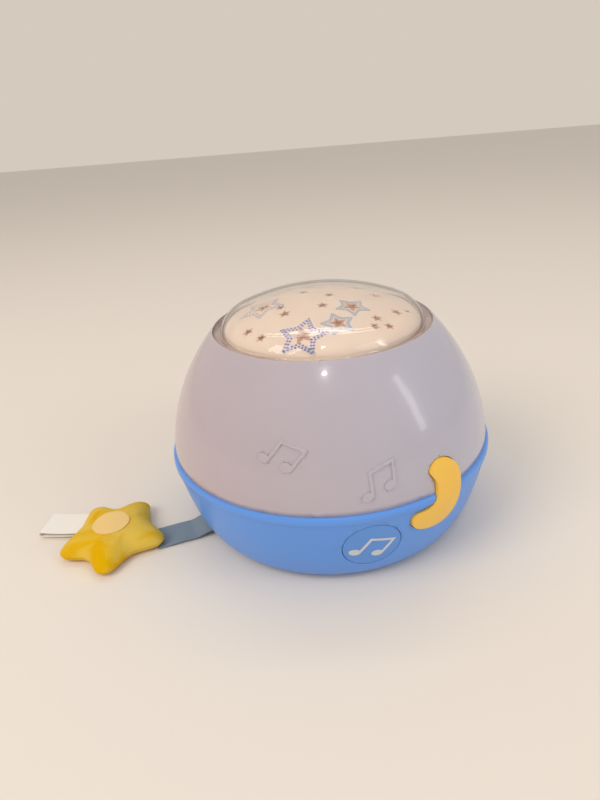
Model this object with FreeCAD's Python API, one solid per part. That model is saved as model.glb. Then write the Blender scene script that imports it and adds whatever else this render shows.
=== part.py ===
# Star night light projector: a round bedside lamp that throws stars on the ceiling,
# with a soft plush star tied to its foot by a ribbon.
# Millimetres. The origin lies on the table under the middle of the lamp and Z is up.
# Azimuth 0 is the front, which faces -Y, and azimuth grows towards +X.
import FreeCAD, Part
import math
import os

os.makedirs("parts", exist_ok=True)

Vector = FreeCAD.Vector
UP = Vector(0, 0, 1)

# Housing outline
rim_radius = 100.0
seam_height = 55.0
lip_height = 5.2
lip_step = 0.7
lip_round = 2.4
dome_inset = 1.8
bowl_foot_share = 0.818
bowl_foot_height = 3.0
bowl_pull_share = 0.914
bowl_pull_height = 9.1
dome_power = 1.76
dome_rise = 105.6
opening_height = 127.0
base_wall = 2.2
dome_wall = 2.2

# Underside
stand_ring_outer = 74.0
stand_ring_inner = 68.0
stand_ring_depth = 1.5
pad_radius = 6.0
pad_circle_radius = 58.0
pad_sink = 0.8

# Joint between dome and base, and its screws
skirt_wall = 2.0
skirt_depth = 4.0
skirt_clearance = 0.4
screw_circle_radius = 64.0
screw_azimuth = -15.0
post_radius = 4.6
counterbore_radius = 3.8
post_cap = 11.0
screw_hole_radius = 1.75
pilot_hole_radius = 1.6
screw_radius = 1.5
screw_head_radius = 3.3
screw_head_height = 2.3
screw_length = 20.0
boss_height = 14.0
web_thickness = 3.0

# Clear cover, star mask and light funnel
ledge_reach = 8.0
ledge_wall = 2.0
ledge_drop = 5.0
flange_clearance = 0.3
sheet_wall = 1.0
cover_wall = 2.0
cover_rise = 20.0
cover_crown_drop = 10.4
cover_shoulder_width = 9.4
cover_flange_width = 4.3
cover_flange_height = 2.0
bead_inset = 1.8
bead_width = 1.6
bead_height = 1.0
bead_gap_start = -20.5
bead_gap_end = 50.4
mask_drop = 2.5
mask_crown_drop = 11.0
mask_shoulder_width = 6.1
mask_clearance = 0.8
window_field = 52.5
window_depth = 12.0
window_waist = 0.46
funnel_mouth_radius = 13.0

# Lamp in the middle
tower_foot_radius = 14.6
tower_foot_height = 2.4
tower_lower_radius = 9.5
tower_upper_radius = 7.5
tower_wall = 1.8
tower_plate = 2.0
lamp_height = 88.0
board_thickness = 1.6
lamp_board_radius = 12.0
lamp_radius = 2.5
lamp_body = 4.0
lamp_flange_width = 0.4
lamp_flange_height = 0.8
glow_lamp_count = 3
glow_lamp_circle_radius = 8.5
glow_lamp_radius = 1.6
glow_lamp_height = 3.0

# Batteries
cell_count = 3
cell_radius = 7.25
cell_length = 50.5
cell_nipple_radius = 2.6
cell_nipple_height = 1.2
cell_gap = 0.6
contact_room = 3.2
contact_plate_thickness = 0.5
contact_plate_width = 10.0
coil_radius = 3.2
coil_wire = 0.35
coil_turns = 3
coil_clearance = 0.05
bay_wall = 2.0
bay_clearance = 0.5
bay_middle_y = -22.0
door_thickness = 2.0
door_gap = 0.3
door_border = 4.0
door_rim = 2.0
door_rib_height = 3.0
door_rib_thickness = 1.2
door_tongue_width = 9.0
door_tongue_reach = 2.5
door_tongue_thickness = 0.9
door_ear_radius = 4.2
door_screw_length = 8.0
door_screw_head_height = 1.2
door_screw_head_radius = 2.8

# Loudspeaker
speaker_radius = 20.0
speaker_middle_y = 40.0
speaker_rim_width = 3.0
speaker_rim_height = 1.4
speaker_basket_depth = 7.0
speaker_wall = 0.9
cone_gap = 0.4
magnet_radius = 11.5
magnet_height = 5.0
grille_hole_radius = 1.5
grille_spacing = 5.6
clamp_width = 3.4
clamp_thickness = 1.4
clamp_screw_circle_radius = 24.5
clamp_boss_radius = 2.6
small_screw_radius = 1.0
small_screw_head = 2.0
small_screw_head_height = 1.3
small_hole_clearance = 0.1
small_screw_margin = 0.6
tower_screw_length = 4.0
board_screw_length = 5.0
clamp_screw_length = 3.5
ribbon_screw_length = 3.0

# Electronics board
board_width = 42.0
board_depth = 26.0
board_setback = 5.0
board_lift = 5.0
board_post_radius = 2.6
board_post_inset = 4.0
chip_width = 10.0
chip_height = 1.6
chip_shift = 2.0
small_chip_width = 5.0
small_chip_height = 1.4
small_chip_x = 11.5
small_chip_shift = 0.5
capacitor_radius = 2.9
capacitor_height = 7.0
capacitor_x = -11.0
capacitor_spacing = 7.0
capacitor_shift = 1.5
socket_count = 3
socket_spacing = 7.5
socket_inset = 0.5
socket_width = 6.0
socket_depth = 4.5
socket_height = 4.6
socket_wall = 0.8

# Buttons
button_travel = 1.5
button_clearance = 0.4
sound_azimuth = 11.8
sound_height = 31.2
sound_radius = 16.0
sound_flange = 1.6
sound_back = 5.9
flange_thickness = 1.5
flange_gap = 0.3
moon_azimuth = 34.5
moon_drop = 2.0
moon_flange = 1.5
moon_proud = 0.8
moon_swell = 0.5
moon_skin_half = 22.5
moon_thickness = 11.1
moon_roof = 8.1
moon_shell = 2.2
moon_stem_right = 6.0
moon_stem_up = -4.0
stem_radius = 3.0
stem_length = 2.6
plunger_radius = 1.8
plunger_length = 2.9
plunger_clearance = 0.2
switch_size = 6.4
switch_height = 3.5
switch_gap = 0.3
switch_board_width = 20.0
switch_board_height = 15.0
guide_wall = 1.6
guide_clearance = 0.4
rest_wall = 2.5

# Musical notes
note_spacing = 12.4
note_rise = 4.0
note_head_long = 3.3
note_head_short = 2.5
note_stem_length = 12.2
note_stem_width = 1.7
note_beam_width = 1.6
note_proud = 0.7
note_root = 5.0
note_reach = 4.0
note_head_turn = 20.0
button_note_tilt = -33.0
inlay_depth = 1.0
inlay_proud = 0.12
# Raised notes of the dome: azimuth, height and tilt
dome_notes = [(-15.2, 87.8, -36.0), (14.0, 72.6, 2.0)]

# Ribbon, plush star and its label
ribbon_azimuth = -71.0
ribbon_width = 20.5
ribbon_thickness = 0.9
ribbon_middle = 4.3
ribbon_slot_clearance = 0.35
ribbon_tail_length = 19.0
ribbon_pivot_gap = 1.2
ribbon_joint_gap = 0.4
ribbon_drop_length = 12.0
ribbon_reach = 36.0
floor_clearance = 0.3
ribbon_clamp_length = 8.0
ribbon_clamp_thickness = 2.0
star_azimuth = -75.0
star_offset = 61.6
star_height = 14.3
star_valley_reach = 25.5
star_tip_round = 7.5
star_valley_round = 9.0
patch_radius = 11.5
patch_thickness = 0.8
label_length = 30.0
label_width = 21.0
label_thickness = 1.0
label_height = 2.6
label_turn = 175.0
label_offset = 36.5
label_side = 12.5


def polar(azimuth, radius, height):
    """A point, from the way it faces, its distance from the axis and its height."""
    turn = math.radians(azimuth)
    return Vector(radius * math.sin(turn), -radius * math.cos(turn), height)


def path(points):
    """Straight edges through points given as radius and height."""
    corners = [Vector(radius, 0, height) for radius, height in points]
    return [Part.makeLine(a, b) for a, b in zip(corners, corners[1:])]


def smooth(points):
    """One smooth edge through points given as radius and height."""
    curve = Part.BSplineCurve()
    curve.interpolate([Vector(radius, 0, height) for radius, height in points])
    return curve.toShape()


def bow(start, middle, end):
    """A round edge through three points given as radius and height."""
    corners = [Vector(radius, 0, height) for radius, height in (start, middle, end)]
    return Part.Arc(*corners).toShape()


def spun(edges, sweep=360.0):
    """A solid turned about the lamp's axis."""
    return Part.Face(Part.Wire(edges)).revolve(Vector(0, 0, 0), UP, sweep)


def ring(inner, outer, bottom, top):
    """A flat ring or disc about the lamp's axis."""
    disc = Part.makeCylinder(outer, top - bottom, Vector(0, 0, bottom))
    if inner <= 0:
        return disc
    return disc.cut(Part.makeCylinder(inner, top - bottom, Vector(0, 0, bottom)))


def rod(radius, bottom, top, middle):
    """An upright cylinder at a place on the plan."""
    return Part.makeCylinder(radius, top - bottom, Vector(middle.x, middle.y, bottom))


def block(x_range, y_range, z_range):
    """A square-edged block from its three ranges."""
    size = [high - low for low, high in (x_range, y_range, z_range)]
    return Part.makeBox(*size, Vector(x_range[0], y_range[0], z_range[0]))


def joined(first, *others):
    """Solids of one moulding, melted into one."""
    return first.fuse(list(others)).removeSplitter()


def facing(azimuth, height, radius, tilt=0.0):
    """A local frame on the housing: X to the right, Y up and Z outwards, tilted up by tilt."""
    across = polar(azimuth + 90, 1, 0)
    level = polar(azimuth, 1, 0)
    lean = math.radians(tilt)
    outward = level * math.cos(lean) + UP * math.sin(lean)
    turn = FreeCAD.Rotation(across, outward.cross(across), outward, "ZXY")
    return FreeCAD.Placement(polar(azimuth, radius, height), turn)


def placed(shape, frame):
    """The shape, moved from the origin to a local frame."""
    return shape.transformed(frame.toMatrix())


# Outline of the bowl, from the crease under the lip (0) to the foot (1)
crease_radius = rim_radius - lip_step
crease_height = seam_height - lip_height
bowl_controls = (
    (crease_radius, crease_height),
    (bowl_pull_share * rim_radius, bowl_pull_height),
    (bowl_foot_share * rim_radius, bowl_foot_height),
)


def bowl_point(share, proud=0.0):
    """A point of the bowl's outline, moved outwards by proud."""
    start, pull, end = bowl_controls
    rest = 1 - share
    point = [rest * rest * a + 2 * rest * share * b + share * share * c
             for a, b, c in zip(start, pull, end)]
    along = [rest * (b - a) + share * (c - b) for a, b, c in zip(start, pull, end)]
    length = math.hypot(*along)
    return point[0] - proud * along[1] / length, point[1] + proud * along[0] / length


def bowl_share(height):
    """Where on its outline the bowl reaches a height."""
    start, pull, end = (control[1] for control in bowl_controls)
    bend = start - 2 * pull + end
    fall = 2 * (pull - start)
    return (-fall - math.sqrt(fall * fall - 4 * bend * (start - height))) / (2 * bend)


def bowl_edge(proud):
    """The bowl's outline from foot to crease, moved outwards by proud."""
    return smooth([bowl_point(1 - step / 8, proud) for step in range(9)])


# Outline of the milky dome, a rounded square arch
dome_foot_radius = rim_radius - dome_inset


def dome_point(height, proud=0.0):
    """A point of the dome's outline, moved outwards by proud."""
    share = (height - seam_height) / dome_rise
    fill = 1 - share ** dome_power
    radius = dome_foot_radius * fill ** (1 / dome_power)
    slope = -dome_foot_radius / dome_rise * share ** (dome_power - 1) * fill ** (1 / dome_power - 1)
    length = math.hypot(1, slope)
    return radius + proud / length, height - proud * slope / length


def dome_edge(proud):
    """The dome's outline from seam to opening, moved outwards by proud."""
    rise = opening_height - seam_height
    return smooth([dome_point(seam_height + rise * step / 8, proud) for step in range(9)])


def dome_body(proud):
    """All that lies inside the dome's outline moved outwards by proud."""
    foot = dome_point(seam_height, proud)
    top = dome_point(opening_height, proud)
    closing = path([top, (0, top[1]), (0, foot[1]), foot])
    return spun([dome_edge(proud)] + closing)


def bowl_body(proud):
    """All that lies inside the bowl's outline moved outwards by proud."""
    foot = bowl_point(1, proud)
    top = bowl_point(0, proud)
    closing = path([top, (0, top[1]), (0, foot[1]), foot])
    return spun([bowl_edge(proud)] + closing)


def bowl_radius(height):
    """Radius of the bowl at a height over the table."""
    return bowl_point(bowl_share(height))[0]


opening_radius = dome_point(opening_height)[0]
floor_top = stand_ring_depth + base_wall
counterbore_top = seam_height - post_cap
screw_places = [polar(screw_azimuth + 90 * step, screw_circle_radius, 0) for step in range(4)]
pad_places = [polar(45 + 90 * step, pad_circle_radius, 0) for step in range(4)]

# Battery bay
bay_width = cell_count * (2 * cell_radius + cell_gap) + 2 * bay_clearance
bay_length = cell_length + cell_nipple_height + 2 * contact_room
bay_x = (-bay_width / 2, bay_width / 2)
bay_y = (bay_middle_y - bay_length / 2, bay_middle_y + bay_length / 2)
door_top = stand_ring_depth + door_thickness
cell_axis = door_top + bay_clearance + cell_radius
bay_top = cell_axis + cell_radius + bay_clearance
roof_top = bay_top + bay_wall
cell_middles = [(step - (cell_count - 1) / 2) * (2 * cell_radius + cell_gap)
                for step in range(cell_count)]

# Door of the battery bay
door_x = (bay_x[0] - door_border, bay_x[1] + door_border)
door_y = (bay_y[0] - door_border, bay_y[1] + door_border)
door_screw_place = Vector(door_x[1] + door_ear_radius / 2, bay_middle_y, 0)
door_tongue_places = [bay_middle_y + side * bay_length / 4 for side in (-1, 1)]

# Electronics board
board_bottom = roof_top + board_lift
board_x = (-board_width / 2, board_width / 2)
board_y = (bay_y[0] + board_setback, bay_y[0] + board_setback + board_depth)
board_places = [Vector(x, y, 0)
                for x in (board_x[0] + board_post_inset, board_x[1] - board_post_inset)
                for y in (board_y[0] + board_post_inset, board_y[1] - board_post_inset)]
tower_screw_places = [Vector(x, 0, 0) for x in
                      (-tower_foot_radius + small_screw_head + small_screw_margin,
                       tower_foot_radius - small_screw_head - small_screw_margin)]
speaker_place = Vector(0, speaker_middle_y, 0)
clamp_turns = (90, 210, 330)
clamp_places = [speaker_place + polar(turn, clamp_screw_circle_radius, 0) for turn in clamp_turns]

# Places of the buttons
sound_share = bowl_share(sound_height)
sound_surface = bowl_point(sound_share)
sound_normal = bowl_point(sound_share, 1.0)
sound_tilt = math.degrees(math.atan2(sound_normal[1] - sound_surface[1],
                                     sound_normal[0] - sound_surface[0]))
sound_frame = facing(sound_azimuth, sound_surface[1], sound_surface[0], sound_tilt)
moon_middle = seam_height - moon_drop
moon_skin_top = rim_radius + moon_swell
moon_back = moon_skin_top - moon_thickness
moon_frame = facing(moon_azimuth, moon_middle, 0)
moon_push = moon_frame.multiply(
    FreeCAD.Placement(Vector(moon_stem_right, moon_stem_up, 0), FreeCAD.Rotation()))

# Crescent outline seen from outside: to the right and upwards from its middle
moon_outline = [
    (-4.9, 16.6), (0.8, 20.4), (8.5, 18.8), (14.4, 12.5), (16.2, 2.5), (14.8, -10.6),
    (9.2, -19.2), (0.0, -21.2), (-10.5, -18.0), (-17.0, -12.0), (-16.6, -6.4), (-8.5, -4.8),
    (-3.0, -1.0), (-1.7, 5.5), (-3.2, 11.5),
]


def moon_prism(growth, inner, outer):
    """The crescent, each point of its outline moved out by growth, between two distances."""
    corners = [Vector(x, y, inner) for x, y in moon_outline]
    grown = []
    for step, corner in enumerate(corners):
        along = corners[(step + 1) % len(corners)] - corners[step - 1]
        grown.append(corner + along.cross(UP).normalize() * -growth)
    curve = Part.BSplineCurve()
    curve.interpolate(grown, PeriodicFlag=True)
    face = Part.Face(Part.Wire(curve.toShape()))
    return placed(face.extrude(Vector(0, 0, outer - inner)), moon_frame)


def moon_skin():
    """The smooth swelling that the moon's face is cut from."""
    low_height = moon_middle - moon_skin_half
    high_height = moon_middle + moon_skin_half
    low = (bowl_point(bowl_share(low_height))[0] + moon_proud, low_height)
    high = (dome_point(high_height)[0] + moon_proud, high_height)
    crown = bow(low, (moon_skin_top, moon_middle), high)
    return spun([crown] + path([high, (0, high_height), (0, low_height), low]))


def moon_flange_path():
    """The room that the crescent's flange moves in."""
    return moon_prism(moon_flange + guide_clearance, moon_back - button_travel - 1,
                      moon_back + flange_thickness + flange_gap)


def note_prism(tilt, frame, depth, height):
    """A pair of beamed notes, from depth under a frame to height over it, turned by tilt."""
    faces = []
    thickness = depth + height
    for side in (-0.5, 0.5):
        head = Vector(side * note_spacing, side * note_rise - note_stem_length / 2, -depth)
        ellipse = Part.Ellipse(Vector(0, 0, 0), note_head_long, note_head_short)
        outline = ellipse.toShape()
        outline.rotate(Vector(0, 0, 0), UP, note_head_turn)
        outline.translate(head)
        faces.append(Part.Face(Part.Wire(outline)))
        left = head.x + note_head_long - note_stem_width
        stem = Part.makePlane(note_stem_width, note_stem_length, Vector(left, head.y, -depth))
        faces.append(stem)
    slope = note_rise / note_spacing
    beam_left = -note_spacing / 2 + note_head_long - note_stem_width
    beam_right = note_spacing / 2 + note_head_long
    beam_low = note_stem_length / 2 - note_rise / 2 - note_beam_width / 2
    beam_high = beam_low + slope * (beam_right - beam_left)
    corners = [(beam_left, beam_low), (beam_right, beam_high),
               (beam_right, beam_high + note_beam_width), (beam_left, beam_low + note_beam_width),
               (beam_left, beam_low)]
    faces.append(Part.Face(Part.makePolygon([Vector(x, y, -depth) for x, y in corners])))
    solids = [face.extrude(Vector(0, 0, thickness)) for face in faces]
    note = joined(solids[0], *solids[1:])
    note.rotate(Vector(0, 0, 0), UP, tilt)
    return placed(note, frame)


def switch_depths(start):
    """Depths under a button's back at which its plunger, switch, board and wall begin."""
    plunger = start + stem_length
    switch = plunger + button_travel + switch_gap
    board = switch + switch_height
    return plunger, switch, board, board + board_thickness


def local_rod(radius, near, far):
    """A rod along a button's push, between two depths."""
    return Part.makeCylinder(radius, far - near, Vector(0, 0, -far))


def local_block(width, height, near, far, drop=0.0):
    """A block square to a button's push, lowered by drop."""
    corner = Vector(-width / 2, -height / 2 - drop, -far)
    return Part.makeBox(width, height + drop, far - near, corner)


def switch_wall(start, frame):
    """The upright rib of the base that backs a button's switch board."""
    wall_start = switch_depths(start)[3]
    wall = local_block(switch_board_width, switch_board_height, wall_start, wall_start + rest_wall,
                       drop=rim_radius)
    return placed(wall, frame)


# Depth of each button's back from its own frame
moon_depth = -moon_back
sound_wall = switch_wall(sound_back, sound_frame)
moon_wall = switch_wall(moon_depth, moon_push)

# The ribbon's way out of the foot
ribbon_pivot = bowl_radius(ribbon_middle) + ribbon_pivot_gap
ribbon_tail_start = ribbon_pivot - ribbon_tail_length
clamp_middle = ribbon_tail_start + ribbon_clamp_length / 2 + 1
clamp_screw_offset = ribbon_width / 2 + small_screw_head + small_screw_margin
ribbon_clamp_places = []
for side in (-1, 1):
    spot = polar(ribbon_azimuth, clamp_middle, 0)
    ribbon_clamp_places.append(spot + polar(ribbon_azimuth + 90, side * clamp_screw_offset, 0))


def ribbon_box(inner, outer, low, high, width):
    """A block that lies along the ribbon's way out."""
    bar = block((inner, outer), (-width / 2, width / 2), (low, high))
    bar.rotate(Vector(0, 0, 0), UP, ribbon_azimuth - 90)
    return bar


def door_outline(growth, low, high):
    """The battery door's plan with its screw ear, grown by growth, between two heights."""
    plate = block((door_x[0] - growth, door_x[1] + growth),
                  (door_y[0] - growth, door_y[1] + growth), (low, high))
    ear = rod(door_ear_radius + growth, low, high, door_screw_place)
    return joined(plate, ear)


def door_tongues(growth):
    """Two flat tongues on the door's left edge, grown by growth."""
    high = door_top + growth - small_hole_clearance
    low = door_top - small_hole_clearance - door_tongue_thickness - growth
    return [block((door_x[0] - door_gap - door_tongue_reach - growth, door_x[0]),
                  (middle - door_tongue_width / 2 - growth, middle + door_tongue_width / 2 + growth),
                  (low, high)) for middle in door_tongue_places]


def base_shell():
    """The blue bowl: lip, stand ring, battery bay, posts, ribs and openings."""
    lip_top = (rim_radius - lip_round, seam_height)
    lip_side = (rim_radius, seam_height - lip_round)
    quarter = lip_round * math.cos(math.radians(45))
    lip_middle = (rim_radius - lip_round + quarter, seam_height - lip_round + quarter)
    under = path([(0, seam_height), (0, stand_ring_depth), (stand_ring_inner, stand_ring_depth),
                  (stand_ring_inner, 0), (stand_ring_outer, 0), bowl_point(1)])
    lip = path([bowl_point(0), (rim_radius, crease_height + lip_step), lip_side])
    lip.append(bow(lip_side, lip_middle, lip_top))
    lip += path([lip_top, (0, seam_height)])
    outside = spun(under + [bowl_edge(0)] + lip)
    foot = bowl_point(1, -base_wall)
    crease = bowl_point(0, -base_wall)
    seat_radius = dome_foot_radius - dome_wall
    inside = spun(path([(0, seam_height), (0, floor_top), (foot[0] - base_wall, floor_top), foot])
                  + [bowl_edge(-base_wall)]
                  + path([crease, (seat_radius, seam_height), (0, seam_height)]))
    shell = outside.cut(inside)
    walls = [block((bay_x[0] - bay_wall, bay_x[1] + bay_wall),
                   (bay_y[0] - bay_wall, bay_y[1] + bay_wall),
                   (stand_ring_depth, roof_top))]
    walls += [rod(post_radius, floor_top, seam_height, place) for place in screw_places]
    walls += [rod(board_post_radius, roof_top, board_bottom, place) for place in board_places]
    walls += [rod(clamp_boss_radius, floor_top, floor_top + speaker_rim_height, place)
              for place in clamp_places]
    walls += [rod(clamp_boss_radius, floor_top, ribbon_middle + ribbon_thickness / 2, place)
              for place in ribbon_clamp_places]
    walls.append(door_outline(door_gap + door_rim, stand_ring_depth, door_top + door_rim))
    walls.append(rod(door_ear_radius, door_top, door_top + door_screw_length, door_screw_place))
    guide = local_rod(sound_radius + sound_flange + guide_clearance + guide_wall, 0,
                      sound_back + button_travel)
    walls.append(placed(guide, sound_frame).common(bowl_body(-base_wall / 2)))
    walls += [rib.common(inside) for rib in (sound_wall, moon_wall)]
    shell = shell.fuse(walls)
    bay_hollow = block(bay_x, bay_y, (0, bay_top))
    cuts = [bay_hollow, door_outline(door_gap, 0, door_top)]
    cuts += door_tongues(door_gap / 2)
    cuts.append(rod(pilot_hole_radius, door_top, door_top + door_screw_length, door_screw_place))
    for place in screw_places:
        cuts.append(rod(counterbore_radius, 0, counterbore_top, place))
        cuts.append(rod(screw_hole_radius, counterbore_top, seam_height, place))
    for place in board_places:
        cuts.append(rod(small_screw_radius + small_hole_clearance, roof_top, board_bottom, place))
    for place in clamp_places + ribbon_clamp_places:
        cuts.append(rod(small_screw_radius + small_hole_clearance,
                        floor_top - 1, floor_top + clamp_boss_radius, place))
    for place in tower_screw_places:
        cuts.append(rod(small_screw_radius + small_hole_clearance, bay_top, roof_top, place))
    cuts += [rod(pad_radius, 0, stand_ring_depth + pad_sink, place) for place in pad_places]
    cuts += grille_holes()
    hole = local_rod(sound_radius + button_clearance, -rim_radius, sound_back + button_travel + 1)
    cuts.append(placed(hole, sound_frame))
    pocket = local_rod(sound_radius + sound_flange + guide_clearance,
                       sound_back - flange_thickness - flange_gap, sound_back + button_travel + 1)
    cuts.append(placed(pocket, sound_frame))
    cuts.append(moon_prism(button_clearance, moon_back - button_travel, rim_radius + lip_round))
    cuts.append(moon_flange_path())
    slot_half = ribbon_thickness / 2 + ribbon_slot_clearance
    cuts.append(ribbon_box(ribbon_tail_start, rim_radius, ribbon_middle - slot_half,
                           ribbon_middle + slot_half, ribbon_width + 2 * ribbon_slot_clearance))
    return shell.cut(cuts).removeSplitter()


def grille_holes():
    """Round sound holes under the loudspeaker, in rings of six and twelve."""
    holes = [rod(grille_hole_radius, 0, floor_top, speaker_place)]
    for row in (1, 2):
        count = 6 * row
        for step in range(count):
            place = speaker_place + polar(360 / count * step, grille_spacing * row, 0)
            holes.append(rod(grille_hole_radius, 0, floor_top, place))
    return holes


# Stack that closes the dome's opening
ledge_top = opening_height - ledge_drop
funnel_flange_top = ledge_top + sheet_wall
mask_flange_top = funnel_flange_top + sheet_wall
cover_flange_top = mask_flange_top + cover_flange_height
ledge_inner = opening_radius - ledge_reach
flange_radius = opening_radius - flange_clearance
cover_top = opening_height + cover_rise
cover_wall_radius = opening_radius - cover_flange_width
cover_shoulder_start = cover_wall_radius - cover_shoulder_width
bead_radius = flange_radius - bead_inset
mask_top = cover_top - cover_wall - mask_drop


def dome_shell():
    """The milky dome: skirt, screw bosses on webs, ledge and two raised pairs of notes."""
    seat_radius = dome_foot_radius - dome_wall
    inner_foot = dome_point(seam_height, -dome_wall)
    inner_top = dome_point(opening_height, -dome_wall)
    wall = spun([dome_edge(0)]
                + path([dome_point(opening_height), inner_top])
                + [dome_edge(-dome_wall)]
                + path([inner_foot, dome_point(seam_height)]))
    skirt_outer = seat_radius - skirt_clearance
    additions = [ring(skirt_outer - skirt_wall, skirt_outer, seam_height - skirt_depth,
                      seam_height + skirt_depth)]
    additions.append(ring(seat_radius - skirt_wall, inner_foot[0] + dome_wall / 2, seam_height,
                          seam_height + skirt_depth))
    collar = ring(ledge_inner, rim_radius, ledge_top - ledge_wall, opening_height)
    additions.append(collar.common(dome_body(0)))
    cavity = dome_body(-dome_wall / 2)
    for step, place in enumerate(screw_places):
        additions.append(rod(post_radius, seam_height, seam_height + boss_height, place))
        web = block((screw_circle_radius, rim_radius), (-web_thickness / 2, web_thickness / 2),
                    (seam_height + 1, seam_height + boss_height))
        web.rotate(Vector(0, 0, 0), UP, screw_azimuth + 90 * step - 90)
        additions.append(web.common(cavity))
    shell = wall.fuse(additions)
    skin = dome_body(note_proud).cut(dome_body(-dome_wall / 2))
    for azimuth, height, tilt in dome_notes:
        surface = dome_point(height)
        outward = dome_point(height, 1.0)
        lean = math.degrees(math.atan2(outward[1] - surface[1], outward[0] - surface[0]))
        frame = facing(azimuth, surface[1], surface[0], lean)
        shell = shell.fuse(note_prism(tilt, frame, note_root, note_reach).common(skin))
    cuts = [ring(0, opening_radius, ledge_top, opening_height + 1)]
    cuts += [rod(pilot_hole_radius, seam_height, seam_height + boss_height - 1, place)
             for place in screw_places]
    cuts.append(moon_prism(button_clearance, moon_back - button_travel, rim_radius + lip_round))
    cuts.append(moon_flange_path())
    return shell.cut(cuts).removeSplitter()


def shoulder(start_radius, start_height, crown_radius, end_radius, end_height):
    """Middle and radius of the arc that runs on from a crown and ends at a wall."""
    lean = math.asin(start_radius / crown_radius)
    inward = (-math.sin(lean), -math.cos(lean))
    across = (end_radius - start_radius, end_height - start_height)
    reach = (across[0] ** 2 + across[1] ** 2) / (2 * (across[0] * inward[0] + across[1] * inward[1]))
    return (start_radius + reach * inward[0], start_height + reach * inward[1]), reach


def crown_height(top, crown_radius, radius):
    """Height of a round crown at a distance from the axis."""
    return top - crown_radius + math.sqrt(crown_radius ** 2 - radius ** 2)


def capped(top, crown_radius, start_radius, middle, reach, low):
    """A solid under a crown that rounds over into an upright wall, down to low."""
    start = (start_radius, crown_height(top, crown_radius, start_radius))
    half = crown_height(top, crown_radius, start_radius / 2)
    crown = bow((0, top), (start_radius / 2, half), start)
    end_rise = cover_flange_top - middle[1]
    end = (middle[0] + math.sqrt(reach ** 2 - end_rise ** 2), cover_flange_top)
    turn_start = math.atan2(start[1] - middle[1], start[0] - middle[0])
    turn_end = math.atan2(end[1] - middle[1], end[0] - middle[0])
    turn = (turn_start + turn_end) / 2
    between = (middle[0] + reach * math.cos(turn), middle[1] + reach * math.sin(turn))
    return spun([crown, bow(start, between, end)] + path([end, (end[0], low), (0, low), (0, top)]))


def crown_radius(reach, drop):
    """Radius of a round crown that has fallen by drop at a distance from the axis."""
    return (reach ** 2 + drop ** 2) / (2 * drop)


cover_crown_radius = crown_radius(cover_shoulder_start, cover_crown_drop)
cover_start_height = crown_height(cover_top, cover_crown_radius, cover_shoulder_start)
cover_middle, cover_reach = shoulder(cover_shoulder_start, cover_start_height, cover_crown_radius,
                                     cover_wall_radius, cover_flange_top)


def cover_solid(inset):
    """The clear cover's outer form, shrunk by inset."""
    share = 1 - inset / cover_crown_radius
    start = cover_shoulder_start
    start -= inset * cover_shoulder_start / cover_crown_radius
    return capped(cover_top - inset, cover_crown_radius * share, start, cover_middle,
                  cover_reach - inset, mask_flange_top)


def clear_cover():
    """The clear cover: a shallow crown with a flange, a broken bead and a small pip."""
    cover = cover_solid(0).fuse(ring(0, flange_radius, mask_flange_top, cover_flange_top))
    cover = cover.cut(cover_solid(cover_wall))
    bead_low = cover_flange_top - bead_height / 2
    bead_face = path([(bead_radius - bead_width / 2, bead_low),
                      (bead_radius + bead_width / 2, bead_low),
                      (bead_radius + bead_width / 2, cover_flange_top + bead_height / 2),
                      (bead_radius - bead_width / 2, cover_flange_top + bead_height),
                      (bead_radius - bead_width / 2, bead_low)])
    bead = spun(bead_face, 360 - (bead_gap_end - bead_gap_start))
    bead.rotate(Vector(0, 0, 0), UP, bead_gap_end - 90)
    pip = rod(bead_width / 2, cover_flange_top - bead_height, cover_flange_top + bead_height / 2,
              polar(-1.0, bead_radius, 0))
    return joined(cover, bead, pip)


# Star windows of the mask: right of the middle, behind the middle, size and turn
mask_windows = [
    (-10.5, -45.5, 3.4, 8), (-41.2, -29.6, 2.6, 20), (-33.3, -39.6, 2.3, 50),
    (-20.4, -22.3, 2.8, 5), (-23.0, -13.0, 2.2, 40), (1.0, -18.4, 2.6, 0),
    (5.4, -3.0, 2.4, 30), (30.4, -29.9, 2.4, 15), (28.6, -38.0, 2.2, 45),
    (36.6, -35.4, 2.2, 10), (42.8, -17.8, 2.6, 55), (49.6, -11.5, 2.2, 25),
    (22.5, 18.0, 2.6, 12), (-5.7, 27.5, 2.4, 0), (-34.0, -5.0, 3.0, 32),
    (8.9, -37.5, 2.8, 18), (17.6, -19.9, 3.0, 40), (-44.0, 14.0, 2.4, 5),
    (-27.0, 22.0, 2.6, 48), (-38.0, 34.0, 2.2, 22), (-14.0, 44.0, 3.0, 10),
    (8.0, 41.0, 2.4, 35), (30.0, 38.0, 2.8, 0), (42.0, 24.0, 2.3, 50),
    (33.0, 3.0, 2.8, 20), (-10.0, 8.0, 2.6, 14),
]
mask_reach = cover_middle[0] + math.sqrt((cover_reach - cover_wall - mask_clearance) ** 2
                                         - (cover_flange_top - cover_middle[1]) ** 2)
mask_shoulder_start = mask_reach - mask_shoulder_width
mask_crown_radius = crown_radius(mask_shoulder_start, mask_crown_drop)
mask_start_height = crown_height(mask_top, mask_crown_radius, mask_shoulder_start)
mask_middle, mask_round = shoulder(mask_shoulder_start, mask_start_height, mask_crown_radius,
                                   mask_reach, cover_flange_top)


def star_points(size, waist, turn, height):
    """Corners of a five-pointed star about the origin, first corner repeated."""
    corners = []
    for step in range(11):
        reach = size if step % 2 == 0 else size * waist
        angle = math.radians(turn + 90 + 36 * (step % 10))
        corners.append(Vector(reach * math.cos(angle), reach * math.sin(angle), height))
    return corners


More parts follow.
